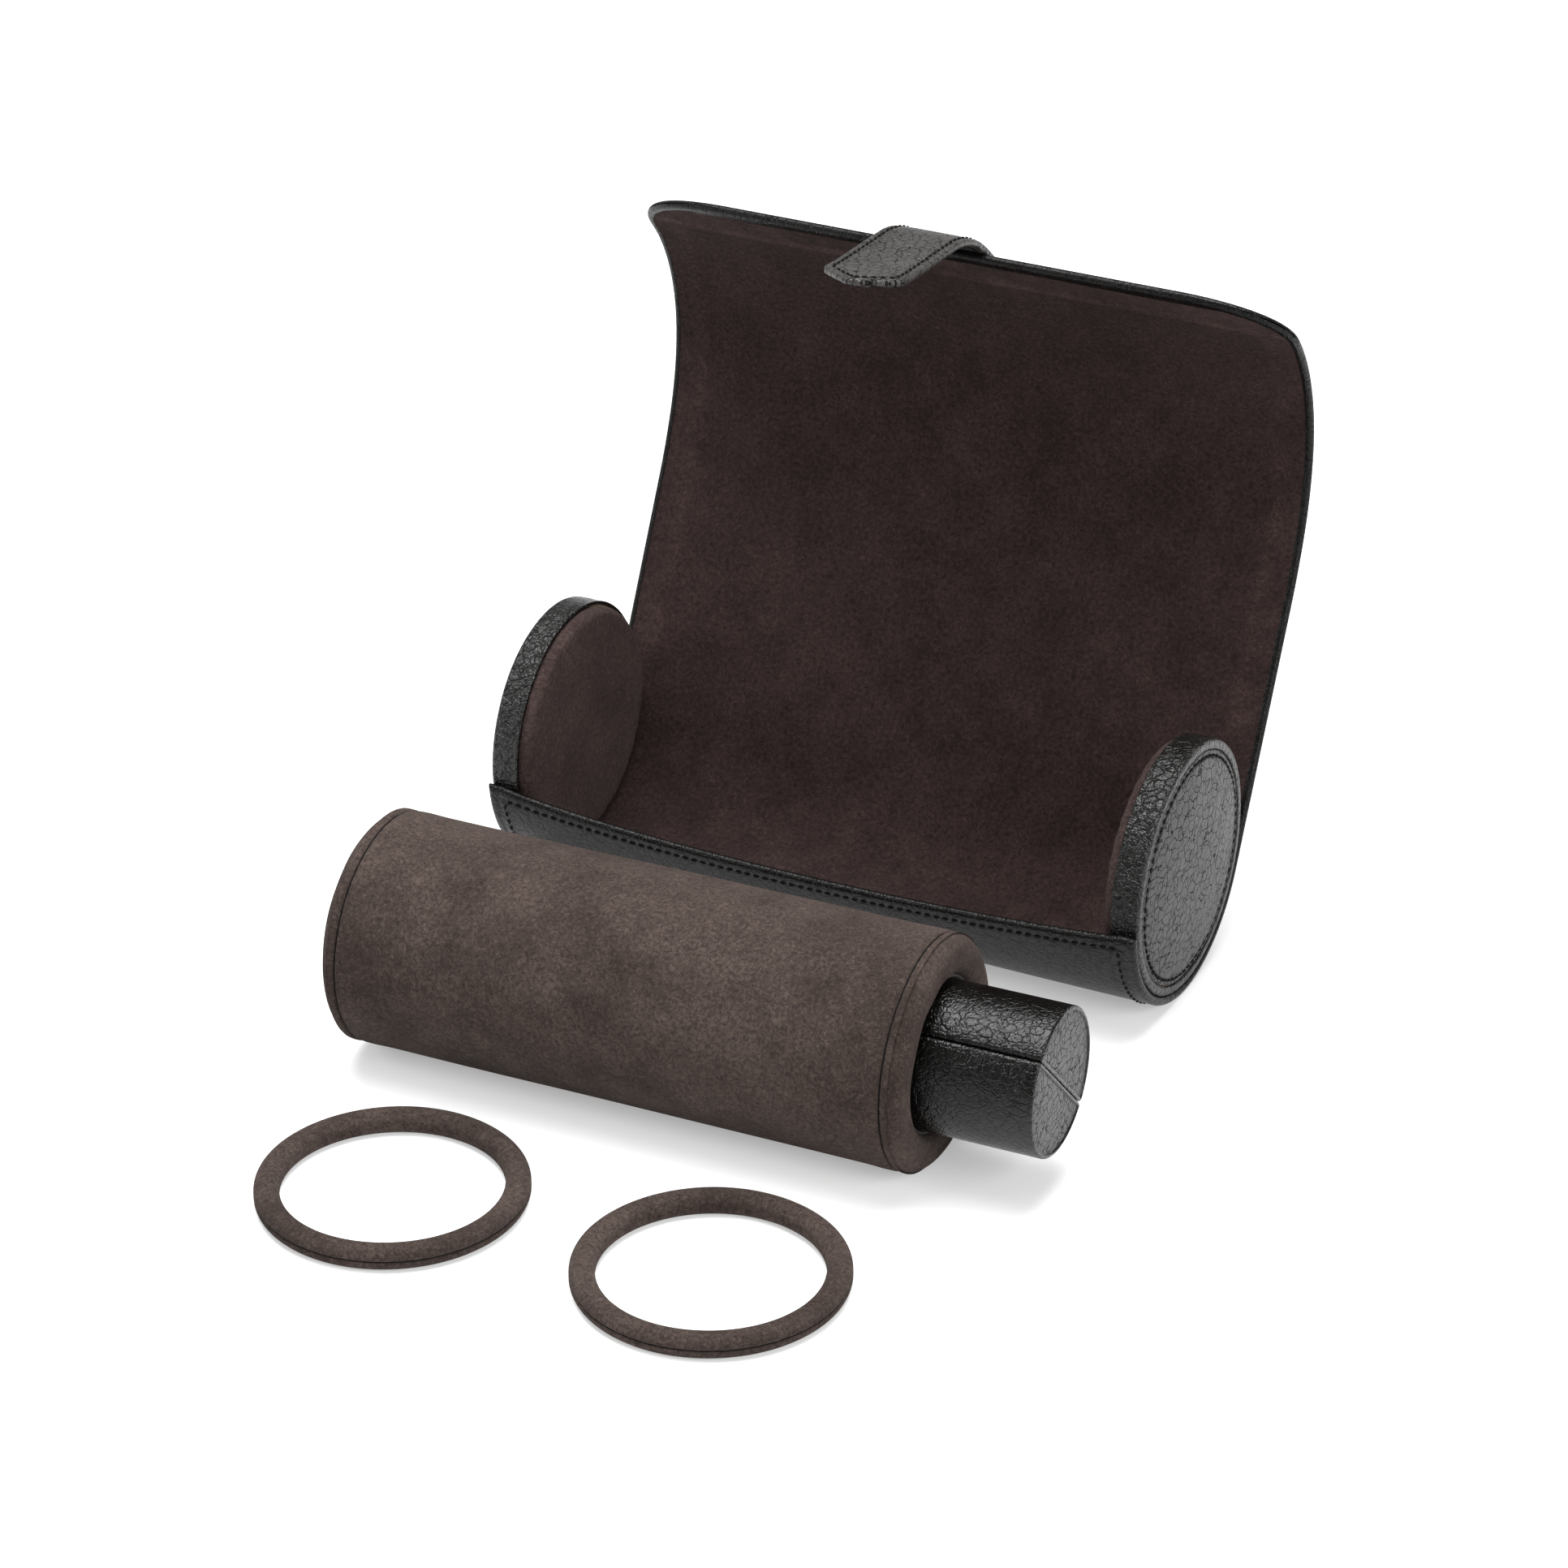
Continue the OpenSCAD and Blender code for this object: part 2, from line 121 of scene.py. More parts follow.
# Material helpers
class Nodes:
    """A material's node tree, with short calls for the nodes that the materials here share."""

    def __init__(self, name):
        self.mat = bpy.data.materials.new(name)
        self.mat.use_nodes = True
        self.tree = self.mat.node_tree
        self.shader = self.tree.nodes["Principled BSDF"]

    def add(self, kind, **inputs):
        node = self.tree.nodes.new(kind)
        for key, value in inputs.items():
            node.inputs[key].default_value = value
        return node

    def link(self, a, b):
        self.tree.links.new(a, b)

    def where(self, use_uv, stretch=(1.0, 1.0, 1.0)):
        coords = self.add("ShaderNodeTexCoord")
        mapping = self.add("ShaderNodeMapping")
        mapping.inputs["Scale"].default_value = stretch
        self.link(coords.outputs["UV" if use_uv else "Object"], mapping.inputs["Vector"])
        return mapping.outputs["Vector"]

    def warped(self, at, scale, amount):
        """The place moved about by a noise, so that nothing laid on it runs straight."""
        node = self.add("ShaderNodeTexNoise", Scale=scale, Detail=2.0)
        self.link(at, node.inputs["Vector"])
        centred = self.add("ShaderNodeVectorMath")
        centred.operation = "SUBTRACT"
        self.link(node.outputs["Color"], centred.inputs[0])
        centred.inputs[1].default_value = (0.5, 0.5, 0.5)
        moved = self.add("ShaderNodeVectorMath")
        moved.operation = "MULTIPLY_ADD"
        self.link(centred.outputs[0], moved.inputs[0])
        moved.inputs[1].default_value = (amount * 2, amount * 2, amount * 2)
        self.link(at, moved.inputs[2])
        return moved.outputs[0]

    def noise(self, at, scale, detail=3.0, rough=0.55):
        node = self.add("ShaderNodeTexNoise", Scale=scale, Detail=detail, Roughness=rough)
        self.link(at, node.inputs["Vector"])
        return node.outputs["Fac"]

    def cells(self, at, scale):
        """Distance to the nearest edge between cells, 0 on the edge."""
        node = self.add("ShaderNodeTexVoronoi", Scale=scale)
        node.feature = "DISTANCE_TO_EDGE"
        self.link(at, node.inputs["Vector"])
        return node.outputs["Distance"]

    def span(self, value, low, high, out_low, out_high):
        node = self.add("ShaderNodeMapRange")
        self.link(value, node.inputs["Value"])
        for key, number in zip(("From Min", "From Max", "To Min", "To Max"), (low, high, out_low, out_high)):
            node.inputs[key].default_value = number
        return node.outputs["Result"]

    def ramp(self, value, low, high, colour_a, colour_b):
        node = self.add("ShaderNodeValToRGB")
        node.color_ramp.elements[0].position = low
        node.color_ramp.elements[1].position = high
        node.color_ramp.elements[0].color = (*colour_a, 1.0)
        node.color_ramp.elements[1].color = (*colour_b, 1.0)
        self.link(value, node.inputs["Fac"])
        return node.outputs["Color"]

    def mix(self, a, b, factor):
        node = self.add("ShaderNodeMix")
        node.data_type = "RGBA"
        for socket, value in ((node.inputs[0], factor), (node.inputs[6], a), (node.inputs[7], b)):
            if hasattr(value, "links"):
                self.link(value, socket)
            else:
                socket.default_value = (*value, 1.0) if isinstance(value, tuple) else value
        return node.outputs[2]

    def maths(self, op, a, b):
        node = self.add("ShaderNodeMath")
        node.operation = op
        for socket, value in zip(node.inputs, (a, b)):
            if hasattr(value, "links"):
                self.link(value, socket)
            else:
                socket.default_value = value
        return node.outputs[0]

    def bump(self, height, strength, distance, under=None):
        node = self.add("ShaderNodeBump", Strength=strength, Distance=distance)
        self.link(height, node.inputs["Height"])
        if under is not None:
            self.link(under, node.inputs["Normal"])
        return node.outputs["Normal"]


def srgb(r, g, b):
    def one(v):
        v /= 255.0
        return v / 12.92 if v <= 0.04045 else ((v + 0.055) / 1.055) ** 2.4

    return (one(r), one(g), one(b))


def leather(name, dark, light, grain=1.6, depth=1.0, rough=(0.3, 0.44), use_uv=False, shine=0.38, crack=1.0):
    """Pebbled leather: small raised pebbles, a net of fine cracks over them with painted shade in the cracks,
    and uneven polish.
    """
    n = Nodes(name)
    at = n.warped(n.where(use_uv, (1.0, 1.0, 1.25)), 500.0, 0.0009)
    pebbles = n.cells(at, 1000.0 / grain)
    cracks = n.cells(n.warped(at, 190.0, 0.0022), 1000.0 / (grain * 2.7))
    fine = n.noise(at, 1500.0, 4.0, 0.7)
    broad = n.noise(at, 26.0, 5.0, 0.62)
    patches = n.noise(at, 150.0, 4.0, 0.65)
    colour = n.ramp(broad, 0.3, 0.72, dark, light)
    colour = n.mix(colour, light, n.span(patches, 0.5, 0.72, 0.0, 0.4))
    width = n.span(patches, 0.38, 0.62, 0.03, 0.09)
    # painted shade in the cracks: their colour is darkened towards black, and their reflection is taken away
    # below
    gap = n.maths("SUBTRACT", 1.0, n.maths("MINIMUM", n.maths("DIVIDE", cracks, width), 1.0))
    crack_shade = n.maths("MULTIPLY", gap, crack)
    colour = n.mix(colour, tuple(0.15 * v for v in dark), crack_shade)
    n.link(colour, n.shader.inputs["Base Color"])
    deep = n.maths("MAXIMUM", crack_shade, n.span(pebbles, 0.0, 0.1, 0.3 * crack, 0.0))
    n.link(n.span(deep, 0.0, 0.8, shine, 0.01), n.shader.inputs["Specular IOR Level"])
    polish = n.maths("ADD", n.maths("MULTIPLY", broad, 0.5), n.maths("MULTIPLY", fine, 0.5))
    n.link(n.span(polish, 0.35, 0.65, rough[0], rough[1]), n.shader.inputs["Roughness"])
    domes = n.span(pebbles, 0.0, 0.3, 0.0, 1.0)
    lines = n.span(cracks, 0.0, 0.14, 0.0, 1.0)
    a = n.bump(fine, 0.4 * depth, 0.0002)
    b = n.bump(domes, 0.6 * depth, 0.0002, a)
    c = n.bump(lines, 0.7 * depth, 0.0004, b)
    n.link(n.bump(patches, 0.35, 0.0007, c), n.shader.inputs["Normal"])
    return n.mat


def hem_highlight(n, at):
    """Painted highlight along the lining's crease over the edge of its board: a pale line, and a paler band
    outside it.
    """
    split = n.add("ShaderNodeSeparateXYZ")
    n.link(n.warped(at, 40.0, 0.0012), split.inputs[0])
    edge = (LID_L - FAR_HEM) * MM
    side = (CASE_L / 2 - SIDE_HEM) * MM
    along_x = n.maths("ABSOLUTE", split.outputs[0], 0.0)
    on_lid = n.span(split.outputs[1], 0.0, 0.03, 0.0, 1.0)
    rise = n.span(split.outputs[1], edge - 0.004, edge - 0.001, 0.0, 1.0)
    fall = n.span(split.outputs[1], edge + 0.0005, edge + 0.004, 1.0, 0.35)
    side_rise = n.span(along_x, side - 0.004, side - 0.001, 0.0, 1.0)
    side_fall = n.span(along_x, side, side + 0.004, 1.0, 0.3)
    far_mark = n.maths("MULTIPLY", rise, fall)
    side_mark = n.maths("MULTIPLY", n.maths("MULTIPLY", side_rise, side_fall), on_lid)
    return n.maths("MAXIMUM", far_mark, n.maths("MULTIPLY", side_mark, 0.3))


def suede(name, base, pale, use_uv=False, fibre_size=1.25, hem=False):
    """Suede: short fibres with dark gaps between them, and strokes where the nap lies another way."""
    n = Nodes(name)
    plain = n.where(use_uv)
    at = n.warped(plain, 300.0, 0.0015)
    fibre = n.noise(at, 1000.0 / fibre_size, 6.0, 0.8)
    curls = n.cells(n.warped(at, 500.0, 0.0018), 420.0)
    strokes = n.noise(at, 58.0, 5.0, 0.72)
    clouds = n.noise(at, 15.0, 4.0, 0.62)
    mixed = n.maths("ADD", n.maths("MULTIPLY", strokes, 0.5), n.maths("MULTIPLY", clouds, 0.5))
    colour = n.ramp(mixed, 0.4, 0.6, base, pale)
    if hem:
        # painted highlight on the lining's crease, broken up by the nap's strokes
        hem_highlight_mask = n.maths("MULTIPLY", hem_highlight(n, plain), n.span(strokes, 0.4, 0.6, 0.2, 1.0))
        colour = n.mix(colour, tuple(2.1 * v for v in pale), hem_highlight_mask)
    gaps = n.maths("ADD", n.span(fibre, 0.36, 0.58, 0.62, 0.0), n.span(curls, 0.0, 0.18, 0.3, 0.0))
    colour = n.mix(colour, tuple(0.3 * v for v in base), gaps)
    tips = n.span(fibre, 0.54, 0.7, 0.0, 0.4)
    colour = n.mix(colour, tuple(1.7 * v for v in pale), tips)
    n.link(colour, n.shader.inputs["Base Color"])
    n.shader.inputs["Roughness"].default_value = 0.95
    n.shader.inputs["Specular IOR Level"].default_value = 0.1
    n.shader.inputs["Sheen Weight"].default_value = 0.16
    n.shader.inputs["Sheen Roughness"].default_value = 0.5
    n.shader.inputs["Sheen Tint"].default_value = (*[min(1.0, 2.0 * v + 0.1) for v in pale], 1.0)
    a = n.bump(fibre, 1.0, 0.0009)
    n.link(n.bump(strokes, 0.4, 0.0014, a), n.shader.inputs["Normal"])
    return n.mat


def thread(name, colour, pale):
    n = Nodes(name)
    at = n.where(False)
    twist = n.noise(at, 3800.0, 2.0)
    n.link(n.ramp(twist, 0.35, 0.65, colour, pale), n.shader.inputs["Base Color"])
    n.shader.inputs["Roughness"].default_value = 0.8
    n.shader.inputs["Specular IOR Level"].default_value = 0.15
    n.link(n.bump(twist, 0.5, 0.0001), n.shader.inputs["Normal"])
    return n.mat


def metal(name, colour):
    n = Nodes(name)
    at = n.where(False, (1.0, 1.0, 6.0))
    scratches = n.noise(at, 900.0, 4.0, 0.7)
    n.link(n.ramp(scratches, 0.3, 0.7, tuple(0.8 * v for v in colour), colour), n.shader.inputs["Base Color"])
    n.shader.inputs["Metallic"].default_value = 1.0
    n.link(n.span(scratches, 0.3, 0.7, 0.24, 0.42), n.shader.inputs["Roughness"])
    n.link(n.bump(scratches, 0.2, 0.00005), n.shader.inputs["Normal"])
    return n.mat


def cloth(name, colour, pale):
    n = Nodes(name)
    at = n.where(False)
    weave = n.add("ShaderNodeTexWave", Scale=420.0, Distortion=0.6)
    n.link(at, weave.inputs["Vector"])
    n.link(n.ramp(weave.outputs["Fac"], 0.2, 0.8, colour, pale), n.shader.inputs["Base Color"])
    n.shader.inputs["Roughness"].default_value = 0.9
    n.link(n.bump(weave.outputs["Fac"], 0.4, 0.0002), n.shader.inputs["Normal"])
    return n.mat


BLACK = leather(
    "wall_leather", srgb(9, 8, 8), srgb(18, 16, 15),
    grain=1.3, depth=0.5, rough=(0.26, 0.38), use_uv=True, shine=0.17, crack=0.4,
)
BAND = leather(
    "band_leather", srgb(9, 9, 8), srgb(20, 18, 17),
    grain=1.4, depth=1.0, rough=(0.22, 0.36), shine=0.4, crack=0.6,
)
# A lit copy of the same black leather: its lighter grey is painted light, for the cap faces and the core's
# ends that face the lamps
LIT_LEATHER = leather(
    "lit_face_leather", srgb(18, 17, 17), srgb(38, 36, 35),
    grain=1.6, depth=0.8, rough=(0.34, 0.48), shine=0.46, crack=1.0,
)
STRAP = leather(
    "strap_leather", srgb(34, 32, 31), srgb(66, 63, 61),
    grain=1.3, depth=1.0, rough=(0.3, 0.44), use_uv=True, shine=0.5, crack=0.9,
)
CORE = leather(
    "core_leather", srgb(5, 5, 4), srgb(12, 11, 10),
    grain=1.3, depth=0.5, rough=(0.16, 0.26), shine=0.3, crack=0.4,
)
BROWN = suede("lining_suede", srgb(47, 35, 34), srgb(63, 49, 47), fibre_size=1.5, use_uv=True, hem=True)
# A lit copy of the lining's suede: its lighter tone is painted light on the caps' pillows, which face the
# lamps
LIT_PAD_SUEDE = suede("lit_pad_suede", srgb(62, 49, 47), srgb(80, 66, 63), fibre_size=1.4)
TAUPE = suede("sleeve_suede", srgb(62, 52, 48), srgb(88, 76, 71), fibre_size=1.3)
# black thread for the stitches; the same black on the cords at the bottom of the suede seams is painted shade
THREAD_AND_SEAM_SHADE = thread("thread", srgb(3, 3, 3), srgb(9, 8, 8))
METAL = metal("snap_metal", srgb(120, 118, 118))
LINER = cloth("bore_cloth", srgb(36, 31, 30), srgb(54, 47, 45))


# Walls: a flat sheet with coordinates x across, d along and n outward, bent along a profile
def ahead(b):
    """Direction [y, z] along the wall where its outward direction is at b degrees."""
    return np.array([-math.sin(math.radians(b)), math.cos(math.radians(b))])


def outward(b):
    """Outward direction [y, z] at b degrees."""
    return np.array([math.cos(math.radians(b)), math.sin(math.radians(b))])


def wall_spans():
    """Stretches of the wall as (d start, length, place, direction, turn)."""
    arc_turn = 180.0 - FRONT_DROP - BACK_DROP
    arc_l = CAP_R * math.radians(arc_turn)
    lip = math.radians(180.0 + FRONT_DROP)
    place = np.array([CAP_R * math.cos(lip), AXIS_Z + CAP_R * math.sin(lip)])
    spans = []
    b = 180.0 + FRONT_DROP
    d = -arc_l - TAIL_L
    for length, turn in [(arc_l, arc_turn), (TAIL_L, 0)] + [(PITCH, t) for t in LID_TURN]:
        spans.append((d, length, place, b, turn))
        if turn:
            r = length / math.radians(turn)
            place = place - r * outward(b) + r * outward(b + turn)
        else:
            place = place + length * ahead(b)
        b += turn
        d += length
    return spans, d


def tab_spans(spans):
    """Stretches of the tab in the same form, from the end of the wall's last stretch."""
    length, place, b, turn = spans[-1][1:]
    r = length / math.radians(turn)
    end = place - r * outward(b) + r * outward(b + turn)
    b += turn
    place = end + WALL_T * outward(b)
    out = []
    d = 0.0
    for t in TAB_TURN:
        out.append((d, TAB_PITCH, place, b, t))
        if t:
            r = TAB_PITCH / math.radians(t)
            place = place - r * outward(b) + r * outward(b + t)
        else:
            place = place + TAB_PITCH * ahead(b)
        b += t
        d += TAB_PITCH
    return out, d


WALL, LID_END = wall_spans()
TAB, TAB_END = tab_spans(WALL)
WALL_START = WALL[0][0]


def along(spans, d):
    """Place [y, z] and outward direction at each distance d along the spans, in millimetres."""
    place = np.zeros((len(d), 2))
    normal = np.zeros((len(d), 2))
    for i, (d0, length, start, b, turn) in enumerate(spans):
        last = i == len(spans) - 1
        inside = (d >= d0 - 1e-9) if i else np.ones(len(d), bool)
        inside &= np.ones(len(d), bool) if last else d < d0 + length - 1e-9
        s = d[inside] - d0
        if turn:
            r = length / math.radians(turn)
            a = np.radians(b) + s / r
            ray = np.stack([np.cos(a), np.sin(a)], 1)
            place[inside] = start - r * outward(b) + r * ray
            normal[inside] = ray
        else:
            place[inside] = start + s[:, None] * ahead(b)
            normal[inside] = outward(b)
    return place, normal


def bend_wall(flat):
    """Flat (x, d, n) to the row frame, all in millimetres."""
    place, normal = along(WALL, flat[:, 1])
    yz = place + flat[:, 2:3] * normal
    return np.column_stack([flat[:, 0], yz])


def bend_tab(flat):
    """The same for the tab, whose root lies on the wall."""
    out = np.zeros_like(flat)
    free = flat[:, 1] >= 0
    place, normal = along(TAB, flat[free, 1])
    out[free, 0] = flat[free, 0]
    out[free, 1:] = place + flat[free, 2:3] * normal
    root = flat[~free].copy()
    root[:, 1] += LID_END
    root[:, 2] += WALL_T
    out[~free] = bend_wall(root)
    return out


def distance_to(points, line):
    """Least distance from each point to a polyline."""
    best = np.full(len(points), 1e9)
    for a, b in zip(line[:-1], line[1:]):
        ab = b - a
        t = np.clip(((points - a) @ ab) / max(float(ab @ ab), 1e-12), 0, 1)
        best = np.minimum(best, np.linalg.norm(points - a - t[:, None] * ab, axis=1))
    return best


def edge_steps(span):
    """Distances from an edge that grow from fine to coarse."""
    steps = [0, 0.04, 0.15, 0.35, 0.62, 0.95, 1.35, 1.8, 2.4, 3.1, 4.0, 5.0, 6.2, 7.6, 9.2]
    return np.array([s for s in steps if s < span])


def columns(half, spacing):
    """Places across a sheet from -1 to 1, close together near its sides."""
    edge = edge_steps(half * 0.5)
    inner = np.linspace(edge[-1], half, max(2, int(round((half - edge[-1]) / spacing)) + 1))[1:]
    side = np.concatenate([edge, inner])
    left = -1 + side / half
    return np.concatenate([left, -left[:-1][::-1]])


def rounded(e, r):
    """How far a surface falls at distance e from an edge of radius r."""
    inside = np.clip(r - e, 0, r)
    return r - np.sqrt(np.maximum(r * r - inside * inside, 0))


def slab(rows, cols, half_at, top, bottom, outline):
    """Vertices and quads of a flat sheet between the heights bottom and top, closed round its edges."""
    x = cols[None, :] * half_at(rows)[:, None]
    d = np.repeat(rows[:, None], len(cols), 1)
    flat = np.column_stack([x.ravel(), d.ravel()])
    e = distance_to(flat, outline)
    count = len(flat)
    low = np.column_stack([flat, bottom(flat, e)])
    high = np.column_stack([flat, top(flat, e)])
    index = np.arange(count).reshape(len(rows), len(cols))
    quads = np.stack([index[:-1, :-1], index[:-1, 1:], index[1:, 1:], index[1:, :-1]], -1).reshape(-1, 4)
    # the two faces share their vertices along the outline
    shared = np.abs(high[:, 2] - low[:, 2]) < 1e-6
    upper = np.where(shared, np.arange(count), np.arange(count) + count)
    verts = np.concatenate([low, high])
    high_quads = upper[quads][:, ::-1]
    keep = ~np.all(shared[quads], 1)
    return verts, np.concatenate([quads, high_quads[keep]])


def vertex_normals(co, faces):
    normal = np.zeros_like(co)
    quad = co[faces]
    face = np.cross(quad[:, 2] - quad[:, 0], quad[:, 3] - quad[:, 1])
    for k in range(4):
        np.add.at(normal, faces[:, k], face)
    length = np.linalg.norm(normal, axis=1)
    return normal / np.maximum(length, 1e-20)[:, None]


def make(name, co, faces, uv, slots, materials, normals=None):
    """A mesh object from millimetre vertices. Unused vertices are dropped."""
    used = np.unique(faces)
    remap = np.full(len(co), -1)
    remap[used] = np.arange(len(used))
    mesh = bpy.data.meshes.new(name)
    small = [tuple(dict.fromkeys(f)) for f in remap[faces].tolist()]
    mesh.from_pydata((co[used] * MM).tolist(), [], small)
    for m in materials:
        mesh.materials.append(m)
    mesh.polygons.foreach_set("material_index", np.asarray(slots, np.int32))
    mesh.polygons.foreach_set("use_smooth", np.ones(len(small), bool))
    layer = mesh.uv_layers.new(name="UVMap")
    corner = np.empty(len(mesh.loops), np.int32)
    mesh.loops.foreach_get("vertex_index", corner)
    layer.data.foreach_set("uv", (uv[used][corner] * MM).astype(np.float32).ravel())
    if normals is not None:
        mesh.normals_split_custom_set_from_vertices(normals[used].tolist())
    mesh.update()
    obj = bpy.data.objects.new(name, mesh)
    bpy.context.collection.objects.link(obj)
    return obj


def stitch_line(points, ups, length=2.6, gap=1.0, radius=0.5, side=6, sink=0.22):
    """Thread stitches along a line of points, each a rounded bead bedded in the surface."""
    points = np.asarray(points, float)
    ups = np.asarray(ups, float)
    step = np.linalg.norm(np.diff(points, axis=0), axis=1)
    total = np.concatenate([[0], np.cumsum(step)])
    count = int(total[-1] // (length + gap))
    rings = np.array([-1.0, -0.86, -0.5, 0.0, 0.5, 0.86, 1.0])
    swell = np.array([0.05, 0.62, 0.95, 1.0, 0.95, 0.62, 0.05])
    verts, faces = [], []
    for i in range(count):
        middle = (i + 0.5) * total[-1] / count

        def at(s, array):
            return np.array([np.interp(s, total, array[:, k]) for k in range(3)])

        centre = at(middle, points)
        axis = at(min(middle + 0.8, total[-1]), points) - at(max(middle - 0.8, 0), points)
        axis /= np.linalg.norm(axis)
        up = at(middle, ups)
        up -= axis * (up @ axis)
        up /= np.linalg.norm(up)
        across = np.cross(axis, up)
        base = len(verts)
        for t, w in zip(rings, swell):
            mid = centre + axis * (t * length / 2) + up * (radius * (1 - 0.8 * t * t) - sink)
            for k in range(side):
                a = 2 * math.pi * k / side
                verts.append(mid + w * radius * (math.cos(a) * across + math.sin(a) * up))
        for j in range(len(rings) - 1):
            for k in range(side):
                a, b = base + j * side + k, base + j * side + (k + 1) % side
                faces.append((a, b, b + side, a + side))
    return np.array(verts), np.array(faces)


def split_pieces(stem, flat, faces, slots, bend, cuts, materials, uv=None):
    """Bends a flat sheet and cuts it into pieces at the distances in cuts."""
    co = bend(flat)
    normals = vertex_normals(co, faces)
    if uv is None:
        uv = flat[:, :2]
    middle = flat[faces][:, :, 1].mean(1)
    pieces = []
    for i in range(len(cuts) + 1):
        low = cuts[i - 1] if i else -1e9
        high = cuts[i] if i < len(cuts) else 1e9
        inside = (middle >= low) & (middle < high)
        name = f"{stem}_{i}" if cuts else stem
        pieces.append(make(name, co, faces[inside], uv, slots[inside], materials, normals))
    return pieces


def placed_body(obj, pair, start=None, end=None):
    """Rides on one body; a piece between two bodies is only baked where it stands. The points start and end
    are not used.
    """
    if len(pair) == 1:
        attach(obj, pair[0])
    else:
        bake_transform(obj)


# The wall: leather outside, suede inside, from the front lip to the lid's far edge
EDGE_R = WALL_T / 2
RIM_SIDE = 1.7
RIM_FAR = 3.4
RIM_LIP = 1.9
STITCH_SIDE = 6.6
STITCH_LIP = 4.2
LIP_BOW = 7.5
BOW_FADE = 52.0
LINING_SINK = 0.12


def half_width(d, side, far):
    """Half the wall's width at distance d, kept back from its side and far edges."""
    reach = CORNER_Y - far
    near = np.clip(d - (LID_END - CORNER_Y), 0, reach) / reach
    return CASE_L / 2 - CORNER_X + (CORNER_X - side) * np.sqrt(np.maximum(1 - near**2, 0))


def wall_outline(side, far, lip, closed=True):
    a = np.radians(np.linspace(0, 90, 25))
    w = CASE_L / 2 - CORNER_X
    top = LID_END - CORNER_Y
    right = np.column_stack([w + (CORNER_X - side) * np.cos(a), top + (CORNER_Y - far) * np.sin(a)])
    left = right[::-1] * [-1, 1]
    low = WALL_START + lip
    foot = [[CASE_L / 2 - side, low]]
    line = np.concatenate([foot, right, left, [[-foot[0][0], low]]])
    return np.concatenate([line, foot]) if closed else line


def lip_shift(x, d):
    """How far the lip dips along the wall, most in the middle of the case."""
    across = np.clip(1 - (x / (CASE_L / 2 - 6)) ** 2, 0, 1) ** 0.8
    lean = 1 - 0.18 * x / (CASE_L / 2)
    fade = np.clip(1 - (d - WALL_START) / BOW_FADE, 0, 1)
    return LIP_BOW * across * lean * fade * fade * (3 - 2 * fade)


def ripple(x, d):
    """Slight unevenness of leather and suede on their board."""
    a = np.sin(x / 31.0 + 1.3) * np.sin(d / 27.0 + 0.4)
    b = np.sin(x / 13.0 + d / 19.0)
    return 0.1 * a + 0.04 * b


BOARD_LINE = wall_outline(SIDE_HEM, FAR_HEM, 0, closed=False)


def hem_step(flat):
    """0 over the board and 1 over the turned leather beside it, on the lid only."""
    x, d = flat[:, 0], flat[:, 1]
    e = distance_to(flat, BOARD_LINE)
    inside = (np.abs(x) < CASE_L / 2 - SIDE_HEM) & (d < LID_END - FAR_HEM)
    signed = np.where(inside, -e, e)
    on_lid = np.clip((d - 4) / 20, 0, 1)
    ridge = np.exp(-((signed / 1.7) ** 2))
    return on_lid / (1 + np.exp(-signed / 0.8)), on_lid * ridge


# Heights of the faces of the leather and of the lining at distance e from their edge
def leather_inner(flat, e):
    roll = rounded(e, EDGE_R)
    tuck = np.clip((e - RIM_LIP - 0.9) / 0.8, 0, 1)
    return roll + (LINING_T + 0.3) * tuck * (flat[:, 1] < LID_END - 6) + ripple(*flat.T) * (e > 4)


def leather_outer(flat, e):
    seam = np.exp(-(((e - STITCH_LIP) / 0.55) ** 2))
    return WALL_T - rounded(e, EDGE_R) - 0.28 * seam + ripple(*flat.T) * np.clip(e / 8, 0, 1)


def lining_inner(flat, e):
    step, ridge = hem_step(flat)
    uneven = 0.7 * ripple(*flat.T) * np.clip(e / 8, 0, 1)
    return LINING_SINK + rounded(e, 0.45) + 0.22 * (1 - step) - 0.42 * ridge + uneven


def lining_outer(flat, e):
    return np.where(e < 1e-6, 0.57, LINING_T + 0.6)


CUTS = [-TAIL_L / 2] + [PITCH * (i + 0.5) for i in range(len(LID_TURN))]


def wall_rows(start, end, spacing):
    """Distances of the mesh's rows, with one exactly on each cut and none crowding it."""
    fine = edge_steps(20)
    inner = np.arange(start + fine[-1] + spacing, end - fine[-1] - spacing / 2, spacing)
    rows = np.concatenate([start + fine, inner, end - fine[::-1], CUTS])
    rows = np.unique(np.round(rows, 4))
    keep = np.ones(len(rows), bool)
    for cut in CUTS:
        keep &= (np.abs(rows - cut) > 0.4) | (np.abs(rows - cut) < 1e-3)
    return rows[keep]


def bend_dipped(flat):
    """Bends the wall with the dip of its lip."""
    moved = flat.copy()
    moved[:, 1] += lip_shift(flat[:, 0], flat[:, 1])
    return bend_wall(moved)


def join(parts):
    """Joins (vertices, faces, slot) parts into one set of arrays."""
    verts, faces, slots, base = [], [], [], 0
    for v, f, s in parts:
        verts.append(v)
        faces.append(np.asarray(f) + base)
        slots.append(np.full(len(f), s))
        base += len(v)
    return np.concatenate(verts), np.concatenate(faces), np.concatenate(slots)


def offset_line(line, distance):
    """The polyline moved to its left by a distance, for a gently turning line."""
    tangent = np.gradient(line, axis=0)
    tangent /= np.maximum(np.linalg.norm(tangent, axis=1), 1e-9)[:, None]
    return line + distance * np.column_stack([-tangent[:, 1], tangent[:, 0]])


